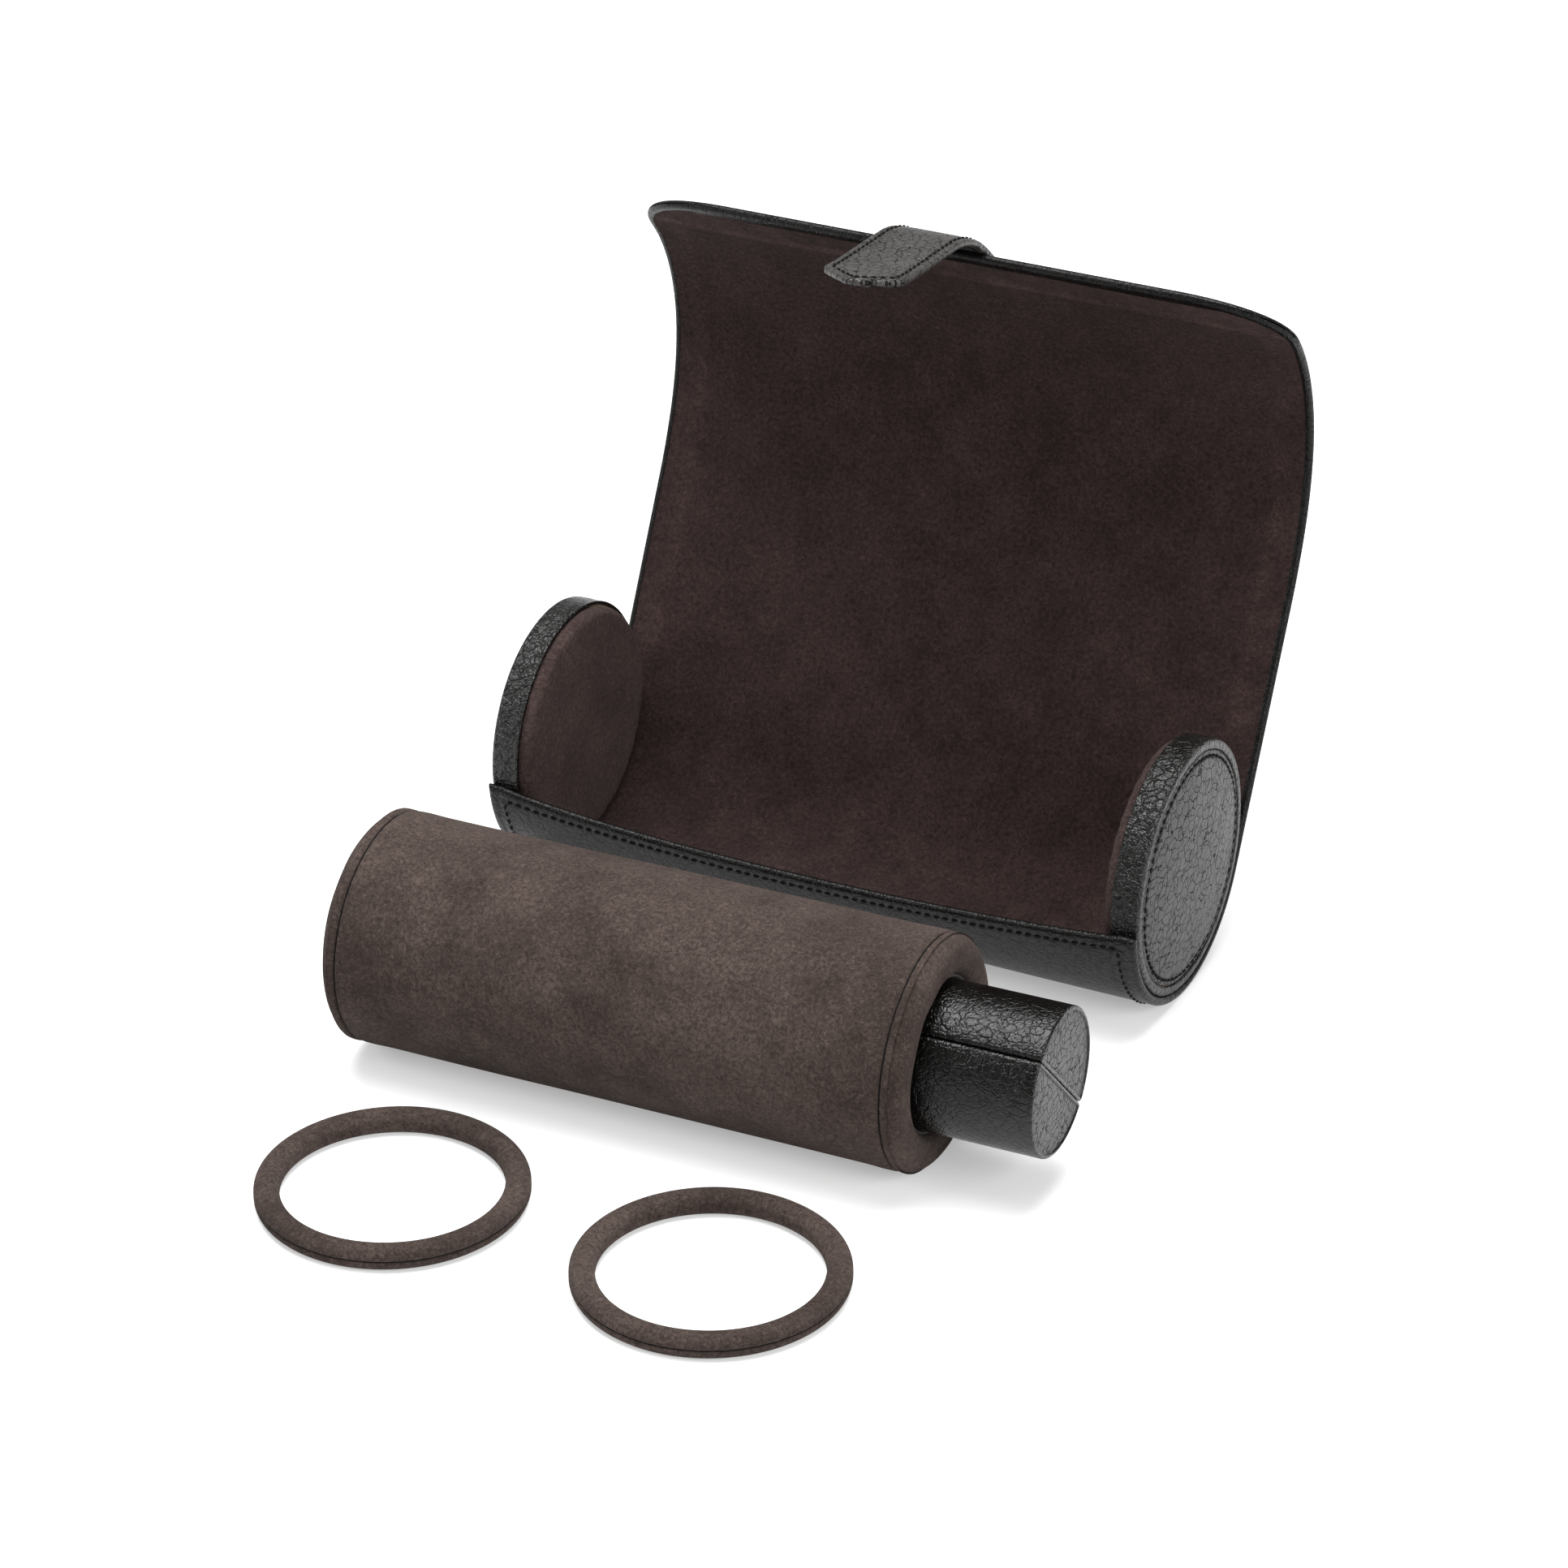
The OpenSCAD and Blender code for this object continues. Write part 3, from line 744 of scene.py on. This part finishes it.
def wall_stitches():
    """Stitches through the outer leather, a little in from its edge all the way round."""
    a = np.radians(np.linspace(0, 90, 13))
    w = CASE_L / 2 - STITCH_SIDE
    low = WALL_START + STITCH_LIP
    top = LID_END - CORNER_Y
    turn_x, turn_y = CORNER_X - STITCH_SIDE, CORNER_Y - STITCH_LIP
    arc = np.column_stack([w - turn_x + turn_x * np.cos(a), top + turn_y * np.sin(a)])
    side = np.column_stack([np.full(160, w), np.linspace(low + 4, top, 160)])
    foot_arc = np.column_stack([w - 4 + 4 * np.cos(a), low + 4 - 4 * np.sin(a)])[::-1]
    half = np.concatenate([[[0, low]], foot_arc, side[1:], arc[1:], [[0, LID_END - STITCH_LIP]]])
    parts = []
    for s in (1, -1):
        line = half * [s, 1]
        points = np.column_stack([line, np.full(len(line), WALL_T - 0.2)])
        verts, faces = stitch_line(points, np.tile([0, 0, 1.0], (len(points), 1)))
        parts.append((verts, faces[:, ::-1], 1))
    return parts


def build_wall():
    rows = wall_rows(WALL_START, LID_END, 2.2)
    cols = columns(CASE_L / 2, 2.9)
    v, f = slab(
        rows, cols, lambda d: half_width(d, 0, 0), leather_outer, leather_inner, wall_outline(0, 0, 0)
    )
    flat, faces, slots = join([(v, f, 0)] + wall_stitches())
    leather_pieces = split_pieces("wall_leather", flat, faces, slots, bend_dipped, CUTS, [BLACK, THREAD_AND_SEAM_SHADE])
    rows = wall_rows(WALL_START + RIM_LIP, LID_END - RIM_FAR, 2.2)
    cols = columns(CASE_L / 2 - RIM_SIDE, 2.9)
    v, f = slab(
        rows,
        cols,
        lambda d: half_width(d, RIM_SIDE, RIM_FAR),
        lining_outer,
        lining_inner,
        wall_outline(RIM_SIDE, RIM_FAR, RIM_LIP),
    )
    lining_pieces = split_pieces("wall_lining", v, f, np.zeros(len(f), int), bend_dipped, CUTS, [BROWN])
    for i, (a, b) in enumerate(zip(leather_pieces, lining_pieces)):
        if i == 0:
            pair, ends = ["case"], (None, None)
        elif i == len(CUTS):
            pair, ends = [f"lid_{i - 1}"], (None, None)
        else:
            pair = ["case" if i == 1 else f"lid_{i - 1}", f"lid_{i}"]
            reach = min(TAIL_L / 2, PITCH / 2) if i == 1 else PITCH / 2
            pivot = PITCH * (i - 1)
            ends = bend_wall(np.array([[0, pivot - reach, 0], [0, pivot + reach, 0]]))
        for piece in (a, b):
            placed_body(piece, pair, *ends)
        if i == 0:
            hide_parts("shell_leather", "shell_board")
            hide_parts("shell_lining")
        elif i < len(CUTS):
            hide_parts(f"lid_leather_{i}", f"lid_board_{i}")
            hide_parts(f"lid_lining_{i}")


build_wall()


# The closing tab, in flat coordinates with d = 0 at the lid's far edge
TIP_R = 5.0
ROOT_R = 3.0
TIP_SHOULDER = (TAB_W / 2 - TIP_R, TAB_END - 12.5)
TIP_APEX = TAB_END - TIP_R
TAB_EDGE_R = 1.3
TAB_STITCH_IN = 3.1
TAB_CUTS = [-2.0, TAB_PITCH / 2, 1.5 * TAB_PITCH]


def half_tab(d):
    """Half the tab's width at distance d: straight sides, a pointed tip and a rounded root."""
    w = np.full(len(d), TAB_W / 2)
    cx, cd = TIP_SHOULDER
    run = np.array([-cx, TIP_APEX - cd])
    side = np.array([run[1], -run[0]]) / np.linalg.norm(run)
    p = np.array([cx, cd]) + TIP_R * side
    q = np.array([0, TIP_APEX]) + TIP_R * side
    shoulder = (d > cd) & (d <= p[1])
    w[shoulder] = cx + np.sqrt(TIP_R**2 - (d[shoulder] - cd) ** 2)
    slope = (d > p[1]) & (d <= q[1])
    w[slope] = p[0] + (q[0] - p[0]) * (d[slope] - p[1]) / (q[1] - p[1])
    apex = d > q[1]
    w[apex] = np.sqrt(np.maximum(TIP_R**2 - (d[apex] - TIP_APEX) ** 2, 1e-4))
    foot = d < ROOT_R - TAB_ROOT
    w[foot] = TAB_W / 2 - ROOT_R + np.sqrt(np.maximum(ROOT_R**2 - (ROOT_R - TAB_ROOT - d[foot]) ** 2, 0))
    return w


def tab_rows():
    fine = edge_steps(20)
    inner = np.arange(-TAB_ROOT + 10.5, TAB_END - 10.5, 1.5)
    rows = np.concatenate([-TAB_ROOT + fine, inner, TAB_END - fine[::-1], TAB_CUTS])
    return np.unique(np.round(rows, 4))


def tab_top(flat, e):
    groove = 0.3 * np.exp(-(((e - TAB_STITCH_IN) / 0.5) ** 2))
    pad = 0.25 * np.clip((e - TAB_STITCH_IN) / 4, 0, 1)
    return np.where(e < 1e-6, TAB_T / 2, TAB_T - 0.25 - rounded(e, TAB_EDGE_R) - groove + pad)


def tab_bottom(flat, e):
    groove = 0.3 * np.exp(-(((e - TAB_STITCH_IN) / 0.5) ** 2))
    return np.where(e < 1e-6, TAB_T / 2, 0.08 + rounded(e, TAB_EDGE_R) + groove)


def build_tab():
    rows = tab_rows()
    d = np.linspace(TAB_END, -TAB_ROOT, 500)
    d = np.unique(np.concatenate([d, TAB_END - edge_steps(20), -TAB_ROOT + edge_steps(20)]))[::-1]
    right = np.column_stack([half_tab(d), d])
    right[0, 0] = 0
    outline = np.concatenate([right, right[::-1] * [-1, 1], right[:1]])
    v, f = slab(rows, columns(TAB_W / 2, 1.2), half_tab, tab_top, tab_bottom, outline)
    parts = [(v, f, 0)]
    inset = offset_line(right, -TAB_STITCH_IN)
    inset = inset[distance_to(inset, outline) > TAB_STITCH_IN - 0.1]
    inset = inset[inset[:, 0] > 0.4]
    inset = np.concatenate([[[0, inset[0, 1] + 0.5]], inset, [[0, inset[-1, 1]]]])
    for s in (1, -1):
        for height, up in ((TAB_T - 0.35, 1.0), (0.2, -1.0)):
            line = inset * [s, 1]
            points = np.column_stack([line, np.full(len(line), height)])
            verts, faces = stitch_line(points, np.tile([0, 0, up], (len(points), 1)), 2.3, 0.9, 0.45)
            parts.append((verts, faces[:, ::-1], 1))
    flat, faces, slots = join(parts)
    pieces = split_pieces("tab", flat, faces, slots, bend_tab, TAB_CUTS, [STRAP, THREAD_AND_SEAM_SHADE])
    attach(pieces[0], "lid_8")
    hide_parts("tab_root")
    chain = ["lid_8", "tab_1", "tab_2", "tab_3"]
    reach = [(TAB_CUTS[0], TAB_CUTS[1]), (TAB_CUTS[1], TAB_CUTS[2]), (TAB_CUTS[2], 2.5 * TAB_PITCH)]
    for i, (low, high) in enumerate(reach):
        ends = bend_tab(np.array([[0, max(low, 0.0), 0], [0, high, 0]]))
        placed_body(pieces[i + 1], [chain[i], chain[i + 1]], *ends)
        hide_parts(f"tab_strap_{i + 1}")


build_tab()


# Turned pieces: a profile of (radius, height) points carried round an axis
def arc(centre, r, a0, a1, steps):
    a = np.radians(np.linspace(a0, a1, steps + 1))
    return np.column_stack([centre[0] + r * np.cos(a), centre[1] + r * np.sin(a)])


def spaced(points, gap):
    """A polyline with extra points so that none of its steps is longer than gap."""
    out = [points[0]]
    for a, b in zip(points[:-1], points[1:]):
        count = max(1, int(math.ceil(np.linalg.norm(b - a) / gap)))
        out += [a + (b - a) * (k + 1) / count for k in range(count)]
    return np.array(out)


def turned(name, profile, place, material, segments=160, loop=False, swell=None):
    """A piece turned from a profile. An open profile starts and ends on the axis."""
    profile = np.asarray(profile, float)
    count = len(profile)
    a = 2 * np.pi * np.arange(segments) / segments
    r = np.repeat(profile[:, 0][:, None], segments, 1)
    h = np.repeat(profile[:, 1][:, None], segments, 1)
    turn = np.repeat(a[None, :], count, 0)
    if swell is not None:
        dr, dh = swell(r, h, turn)
        r, h = r + dr, h + dh
    local = np.column_stack([(r * np.cos(turn)).ravel(), (r * np.sin(turn)).ravel(), h.ravel()])
    index = np.arange(count * segments).reshape(count, segments)
    nxt = np.roll(index, -1, 1)
    rows = range(count) if loop else range(count - 1)
    faces = np.concatenate(
        [np.stack([index[i], nxt[i], nxt[(i + 1) % count], index[(i + 1) % count]], -1) for i in rows]
    )
    co = place(local)
    volume = np.einsum("ij,ij->i", co[faces[:, 0]], np.cross(co[faces[:, 1]], co[faces[:, 2]])).sum()
    volume += np.einsum("ij,ij->i", co[faces[:, 0]], np.cross(co[faces[:, 2]], co[faces[:, 3]])).sum()
    if volume < 0:
        faces = faces[:, ::-1]
    uv = np.column_stack([(turn * r).ravel(), np.repeat(np.arange(count) * 1.0, segments)])
    obj = make(name, co, faces, uv, np.zeros(len(faces), int), [material])
    weld(obj)
    return obj


def weld(obj):
    bm = bmesh.new()
    bm.from_mesh(obj.data)
    bmesh.ops.remove_doubles(bm, verts=bm.verts, dist=2e-6)
    bm.to_mesh(obj.data)
    bm.free()
    obj.data.polygons.foreach_set("use_smooth", np.ones(len(obj.data.polygons), bool))


def at_cap(side):
    s = 1 if side == "right" else -1

    def place(v):
        return np.column_stack([s * (CASE_L / 2 - CAP_W + v[:, 2]), v[:, 0], AXIS_Z + v[:, 1]])

    return place


def flat_noise(a, r, seed):
    """A smooth uneven value round a disc, between about -1 and 1."""
    x, y = r * np.cos(a), r * np.sin(a)
    return np.sin(x / 9.0 + seed) * np.sin(y / 8.0 + 2 * seed) + 0.5 * np.sin(x / 4.0 - y / 5.0 + seed)


CAP_EDGE_R = 1.5
CAP_FOOT_R = 0.5
LIP_EDGE_R = 0.7
FACE_SINK = 0.45
FACE_CROWN = 3.0
FACE_STITCH_IN = 2.4
PAD_GAP = 0.45
PAD_EDGE_R = 3.9


def build_caps():
    """Each cap's leather band with its turned lip, stuffed leather face, stitches and suede pillow."""
    top = CAP_W
    lip_r = CAP_R - BAND_T - LIP_W
    band = np.concatenate(
        [
            [[CAP_R - BAND_T, 0.0]],
            arc((CAP_R - CAP_FOOT_R, CAP_FOOT_R), CAP_FOOT_R, -90, 0, 5),
            spaced(np.array([[CAP_R, CAP_FOOT_R + 0.3], [CAP_R, top - CAP_EDGE_R - 0.5]]), 1.0),
            arc((CAP_R - CAP_EDGE_R, top - CAP_EDGE_R), CAP_EDGE_R, 0, 90, 8),
            arc((lip_r + LIP_EDGE_R, top - LIP_EDGE_R), LIP_EDGE_R, 90, 180, 6),
            [[lip_r, top - LIP_T - 0.4], [CAP_R - BAND_T, top - LIP_T - 0.4]],
        ]
    )
    face_r = lip_r
    stitch_r = face_r - FACE_STITCH_IN
    r = np.concatenate([np.linspace(0, face_r - 6, 24), np.linspace(face_r - 5.5, face_r, 34)])
    crown = FACE_CROWN * (1 - (r / face_r) ** 2.6)
    groove = 0.45 * np.exp(-(((r - stitch_r) / 0.6) ** 2))
    face = np.column_stack([r, top - FACE_SINK + crown - groove - rounded(face_r - r, 0.9)])
    face = np.concatenate([face, [[face_r, top - LIP_T - 0.3], [0, top - LIP_T - 0.3]]])
    pad_r = CAP_R - BAND_T - PAD_GAP
    inner = np.concatenate(
        [
            [[0, 1.4], [pad_r - 0.6, 1.4]],
            arc((pad_r - PAD_EDGE_R, -0.35), PAD_EDGE_R, 20, -68, 14),
            [[x, -PAD_H + 0.7 * (x / pad_r) ** 3] for x in np.linspace(pad_r - 6, 0, 22)],
        ]
    )
    for side in ("left", "right"):
        place = at_cap(side)

        def band_swell(r, h, a):
            return 0.06 * np.sin(7 * a + h), 0.0 * h

        def face_swell(r, h, a):
            return 0.0 * r, np.where(h > top - LIP_T, 0.1 * flat_noise(a, r, 1.7), 0.0)

        def pad_swell(r, h, a):
            pucker = np.clip((r - 34) / 8, 0, 1) * np.clip((pad_r - r) / 2, 0, 1)
            lift = 0.14 * flat_noise(a, r, 0.6) + 0.12 * pucker * np.sin(31 * a + 2 * np.sin(3 * a))
            return 0.0 * r, np.where(h < 0.5, lift, 0.0)

        band_piece = turned(f"cap_{side}_band_leather", band, place, BAND, loop=True, swell=band_swell)
        # the face takes the lit copy of the black leather: painted light
        face_piece = turned(f"cap_{side}_lit_face_leather", face, place, LIT_LEATHER, swell=face_swell)
        # the pillow takes the lit copy of the lining's suede: painted light
        pad_piece = turned(f"cap_{side}_lit_pad_suede", inner, place, LIT_PAD_SUEDE, swell=pad_swell)
        turn = np.linspace(0, 2 * np.pi, 181)
        height = np.full(len(turn), top - FACE_SINK)
        ring = np.column_stack([stitch_r * np.cos(turn), stitch_r * np.sin(turn), height])
        verts, faces = stitch_line(ring, np.tile([0, 0, 1.0], (len(turn), 1)))
        faces = faces[:, ::-1] if side == "left" else faces
        slots = np.zeros(len(faces), int)
        stitches = make(f"cap_{side}_stitches", place(verts), faces, verts[:, :2], slots, [THREAD_AND_SEAM_SHADE])
        for piece, node in ((band_piece, "band"), (face_piece, "face"), (pad_piece, "pad")):
            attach(piece, "case")
            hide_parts(f"cap_{side}_{node}")
        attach(stitches, "case")


build_caps()


def seam_shade_cord(centre, r):
    """Section of a black cord at the bottom of a seam, painted shade in the seam's groove."""
    return arc(centre, r, 0, 360, 9)[:-1]


# The sleeve and its split core
def at_sleeve(v):
    """Local (x, y, z along the axis) to the row frame."""
    z = v[:, 2] - SLEEVE_LEFT
    c, s = math.cos(math.radians(SLEEVE_YAW)), math.sin(math.radians(SLEEVE_YAW))
    return np.column_stack([c * z - s * v[:, 1], s * z + c * v[:, 1] - SLEEVE_FRONT, SLEEVE_R - v[:, 0]])


SEAM_IN = 7.2
END_R = 7.0
MOUTH_R = 4.0
LINER_T = 1.0
LINER_IN = 3.0
SLEEVE_SEAM_R = 0.42
SLEEVE_SEAM_SINK = 0.9


def build_sleeve():
    half = SLEEVE_L / 2
    seam = half - SEAM_IN
    ro = SLEEVE_R
    ri = BORE_R + LINER_T
    body = spaced(np.array([[ro, -seam], [ro, seam]]), 3.0)
    near = seam + np.linspace(-4, 3, 29)
    fine = np.column_stack([np.full(len(near), ro), near])
    body = body[(np.abs(body[:, 1]) < seam - 4.2)]
    shoulder = arc((ro - END_R, half - END_R), END_R, 4, 90, 16)[1:]
    mouth = arc((ri + MOUTH_R, half - MOUTH_R), MOUTH_R, 90, 180, 12)
    end = np.concatenate([fine, shoulder, mouth])
    tail = np.array([[ri, half - 7.5], [ri + 0.6, half - 9]])
    right = np.concatenate([end, tail])
    profile = np.concatenate([body, right, (right * [1, -1])[::-1]])

    def seam_swell(r, h, a):
        wave = 0.16 * np.sin(3 * a + h / 33.0) * np.sin(h / 41.0 + 0.7) + 0.07 * np.sin(5 * a - h / 15.0)
        return wave, 0.0 * h

    def swell(r, h, a):
        outer = np.clip((r - ro + 3) / 3, 0, 1)
        groove = np.exp(-(((np.abs(h) - seam) / 0.55) ** 2))
        puff = np.exp(-(((np.abs(h) - seam - 3.2) / 2.2) ** 2)) + np.exp(-(((np.abs(h) - seam + 5) / 4) ** 2))
        wave = seam_swell(r, h, a)[0]
        pucker = 0.09 * np.sin(46 * a + 3 * np.sin(4 * a)) * np.exp(-(((np.abs(h) - seam) / 2.6) ** 2))
        dr = outer * (wave + pucker - 0.75 * groove + 0.22 * puff - 0.15)
        face = np.clip((np.abs(h) - half + 2) / 2, 0, 1)
        dh = np.sign(h) * face * 0.18 * np.sin(9 * a + 2 * np.sin(2 * a)) * np.clip((ro - r) / 6, 0, 1)
        return dr, dh

    cover = turned("sleeve_suede", profile, at_sleeve, TAUPE, segments=288, loop=True, swell=swell)
    reach = half - LINER_IN
    behind = ri - 0.1
    tube = np.array([[BORE_R, -reach], [BORE_R, reach], [behind, reach], [behind, -reach]])
    liner = turned("sleeve_bore_cloth", spaced(tube, 8.0), at_sleeve, LINER, loop=True)
    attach(cover, "sleeve")
    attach(liner, "sleeve")
    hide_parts("sleeve_cover", "sleeve_foam")
    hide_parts("sleeve_liner")
    for side, s in (("left", -1), ("right", 1)):
        # painted shade: a black cord at the bottom of the seam's groove
        cord = seam_shade_cord((ro - SLEEVE_SEAM_SINK, s * seam), SLEEVE_SEAM_R)
        name = f"sleeve_{side}_seam"
        seam_shade = turned(name, cord, at_sleeve, THREAD_AND_SEAM_SHADE, segments=240, loop=True, swell=seam_swell)
        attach(seam_shade, "sleeve")


build_sleeve()


def half_round(g):
    """Outline of one half of the core, shrunk by g, with its flat side on y = 0."""
    e = GROOVE_R
    x = math.sqrt((CORE_R - e) ** 2 - e * e)
    a = math.degrees(math.asin(e / (CORE_R - e)))
    flat = np.column_stack([np.linspace(-x, x, 30)[1:-1], np.full(28, g)])
    right = arc((x, e), e - g, -90, a, 12)
    top = arc((0, 0), CORE_R - g, a, 180 - a, 64)[1:-1]
    left = arc((-x, e), e - g, 180 - a, 270, 12)
    return np.concatenate([flat, right, top, left])


PAD_IN = 1.66
PAD_MIDDLE = np.array([0, 11.0])
# the end's pad as (share of its full size, depth), then the wrap's rim as (distance in, depth)
PAD_STEPS = [(0.02, 0.18), (0.3, 0.2), (0.6, 0.24), (0.85, 0.32), (0.95, 0.42), (0.985, 0.55)]
RIM_STEPS = [(PAD_IN, 0.6), (1.55, 0.5), (1.4, 0.14), (1.15, 0.0)]
RIM_STEPS += [(0.8, 0.03), (0.45, 0.2), (0.15, 0.5), (0, 1.0)]


def build_core():
    half = SLEEVE_L / 2
    rings = []
    for size, drop in PAD_STEPS:
        rings.append((PAD_MIDDLE + size * (half_round(PAD_IN) - PAD_MIDDLE), half - drop))
    rings += [(half_round(g), half - drop) for g, drop in RIM_STEPS]
    right = rings[::-1]
    between = [(half_round(0), z) for z in np.linspace(half - 1.0, 1.0 - half, 56)[1:-1]]
    stack = rings + between + [(o, -z) for o, z in right]
    count = len(stack[0][0])
    outline = np.concatenate([o for o, z in stack])
    height = np.repeat([z for o, z in stack], count)
    index = np.arange(len(stack) * count).reshape(len(stack), count)
    nxt = np.roll(index, -1, 1)
    bands = len(stack) - 1
    faces = np.concatenate([np.stack([index[i], nxt[i], nxt[i + 1], index[i + 1]], -1) for i in range(bands)])
    pad_bands = len(PAD_STEPS) + 1
    for name, tilt in (("back", SPLIT_TILT - 90), ("front", SPLIT_TILT + 90)):
        t = math.radians(tilt)
        x = outline[:, 0] * math.cos(t) - outline[:, 1] * math.sin(t)
        y = outline[:, 0] * math.sin(t) + outline[:, 1] * math.cos(t)
        slack = 0.05 * np.sin(height / 17.0 + tilt) * np.sin(np.arctan2(y, x) * 3)
        ease = 1 + slack / 30 - 0.003
        co = at_sleeve(np.column_stack([x * ease, y * ease, height + CORE_OUT]))
        volume = np.einsum("ij,ij->i", co[faces[:, 0]], np.cross(co[faces[:, 1]], co[faces[:, 2]])).sum()
        quads = faces if volume > 0 else faces[:, ::-1]
        uv = np.column_stack([np.tile(np.arange(count) * 1.2, len(stack)), height])
        band = np.arange(len(quads)) // count
        # the core's ends take the lit copy of the black leather: painted light where they face the lamps
        pads = ((band < pad_bands) | (band >= bands - pad_bands)).astype(int)
        obj = make(f"core_{name}_half", co, quads, uv, pads, [CORE, LIT_LEATHER])
        weld(obj)
        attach(obj, "core")
        nodes = [f"core_{name}_{part}" for part in ("former", "wrap", "left_pad", "right_pad")]
        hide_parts(*nodes)


build_core()


# The divider rings
RING_EDGE_R = 3.2
RING_SEAM_R = 0.34
RING_SEAM_SINK = 0.6


def build_rings():
    w, h, e = RING_W / 2, RING_H / 2, RING_EDGE_R
    corner = np.concatenate(
        [
            spaced(np.array([[w, 0.0], [w, h - e]]), 0.15),
            arc((w - e, h - e), e, 0, 90, 12)[1:],
            spaced(np.array([[w - e, h], [0.0, h]]), 0.6)[1:],
        ]
    )
    upper = np.concatenate([corner, (corner * [-1, 1])[::-1][1:]])
    section = np.concatenate([upper, (upper * [1, -1])[::-1][1:-1]])
    profile = section + [RING_R - w, h]

    def swell(r, z, a):
        across = (r - RING_R + w) / w
        groove = np.exp(-(((z - h) / 0.42) ** 2)) * (np.abs(across) > 0.6)
        puff = 0.12 * np.exp(-(((np.abs(z - h) - 1.6) / 1.2) ** 2))
        pucker = 0.07 * np.sin(58 * a + 2 * np.sin(5 * a)) * np.exp(-(((z - h) / 1.4) ** 2))
        dr = np.sign(across) * (puff + pucker - 0.5 * groove - 0.05)
        return np.clip(dr, -0.6, 0.0 + 0.1 * (across < 0)), 0.06 * np.sin(4 * a) * (z > h + 1)

    for side, (x, y) in RING_AT.items():

        def place(v):
            return v + np.array([x, y, 0.0])

        obj = turned(f"ring_{side}_suede", profile, place, TAUPE, segments=240, loop=True, swell=swell)
        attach(obj, f"ring_{side}")
        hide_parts(*[f"ring_{side}_{part}" for part in ("top_cover", "bottom_cover", "hoop")])
        # painted shade: a black cord at the bottom of the seam's groove
        cord = seam_shade_cord((RING_R - RING_SEAM_SINK, h), RING_SEAM_R)
        seam_shade = turned(f"ring_{side}_seam", cord, place, THREAD_AND_SEAM_SHADE, segments=240, loop=True)
        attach(seam_shade, f"ring_{side}")


build_rings()


# CAD nodes that stay as they are
def board_material():
    n = Nodes("fibreboard")
    at = n.where(False)
    specks = n.noise(at, 700.0, 5.0, 0.7)
    n.link(n.ramp(specks, 0.3, 0.7, srgb(120, 104, 82), srgb(150, 132, 106)), n.shader.inputs["Base Color"])
    n.shader.inputs["Roughness"].default_value = 0.9
    n.link(n.bump(specks, 0.3, 0.0002), n.shader.inputs["Normal"])
    return n.mat


def dress(node, material):
    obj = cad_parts[node]
    if not obj.material_slots:
        obj.data.materials.append(material)
    for slot in obj.material_slots:
        slot.material = material


BOARD = board_material()
for node in ("cap_left_board", "cap_right_board"):
    dress(node, BOARD)
for node in ("snap_socket", "snap_stud"):
    dress(node, METAL)


# Floor, world and lamps. Lamps are (name, place, aim, width, depth, watts), in metres.
FLOOR_TONE = 0.7
FLOOR_GLOW = 0.36
WORLD_LIGHT = 0.34
LAMPS = [
    ("overhead", (-0.2, 0.1, 2.2), (0, -0.1, 0), 1.9, 1.5, 88.0),
    ("right", (2.3, -0.9, 1.3), (0, -0.1, 0.08), 1.1, 1.2, 46.0),
    ("left", (-2.0, -1.6, 1.4), (0, -0.1, 0.08), 1.0, 1.2, 24.0),
]


def studio():
    bpy.ops.mesh.primitive_plane_add(size=14.0, location=(0, 0, -0.0002))
    floor = bpy.context.object
    floor.name = "floor"
    n = Nodes("floor_paper")
    n.shader.inputs["Base Color"].default_value = (FLOOR_TONE, FLOOR_TONE, FLOOR_TONE, 1.0)
    n.shader.inputs["Emission Color"].default_value = (1.0, 1.0, 1.0, 1.0)
    path = n.add("ShaderNodeLightPath")
    seen = n.maths("MAXIMUM", path.outputs["Is Camera Ray"], path.outputs["Is Glossy Ray"])
    seen = n.maths("MAXIMUM", seen, path.outputs["Is Transmission Ray"])
    n.link(n.maths("MULTIPLY", seen, FLOOR_GLOW), n.shader.inputs["Emission Strength"])
    n.shader.inputs["Roughness"].default_value = 0.9
    n.shader.inputs["Specular IOR Level"].default_value = 0.1
    floor.data.materials.append(n.mat)
    world = bpy.data.worlds.new("world")
    bpy.context.scene.world = world
    world.use_nodes = True
    tree = world.node_tree
    ground = tree.nodes["Background"]
    ground.inputs["Color"].default_value = (1.0, 1.0, 1.0, 1.0)
    ground.inputs["Strength"].default_value = WORLD_LIGHT
    for name, at, to, wide, tall, power in LAMPS:
        data = bpy.data.lights.new(name, "AREA")
        data.shape = "RECTANGLE"
        data.size = wide
        data.size_y = tall
        data.energy = power
        lamp = bpy.data.objects.new(name, data)
        bpy.context.collection.objects.link(lamp)
        lamp.location = at
        lamp.rotation_euler = (Vector(to) - Vector(at)).to_track_quat("-Z", "Y").to_euler()


studio()
bpy.context.scene.view_settings.view_transform = "Standard"
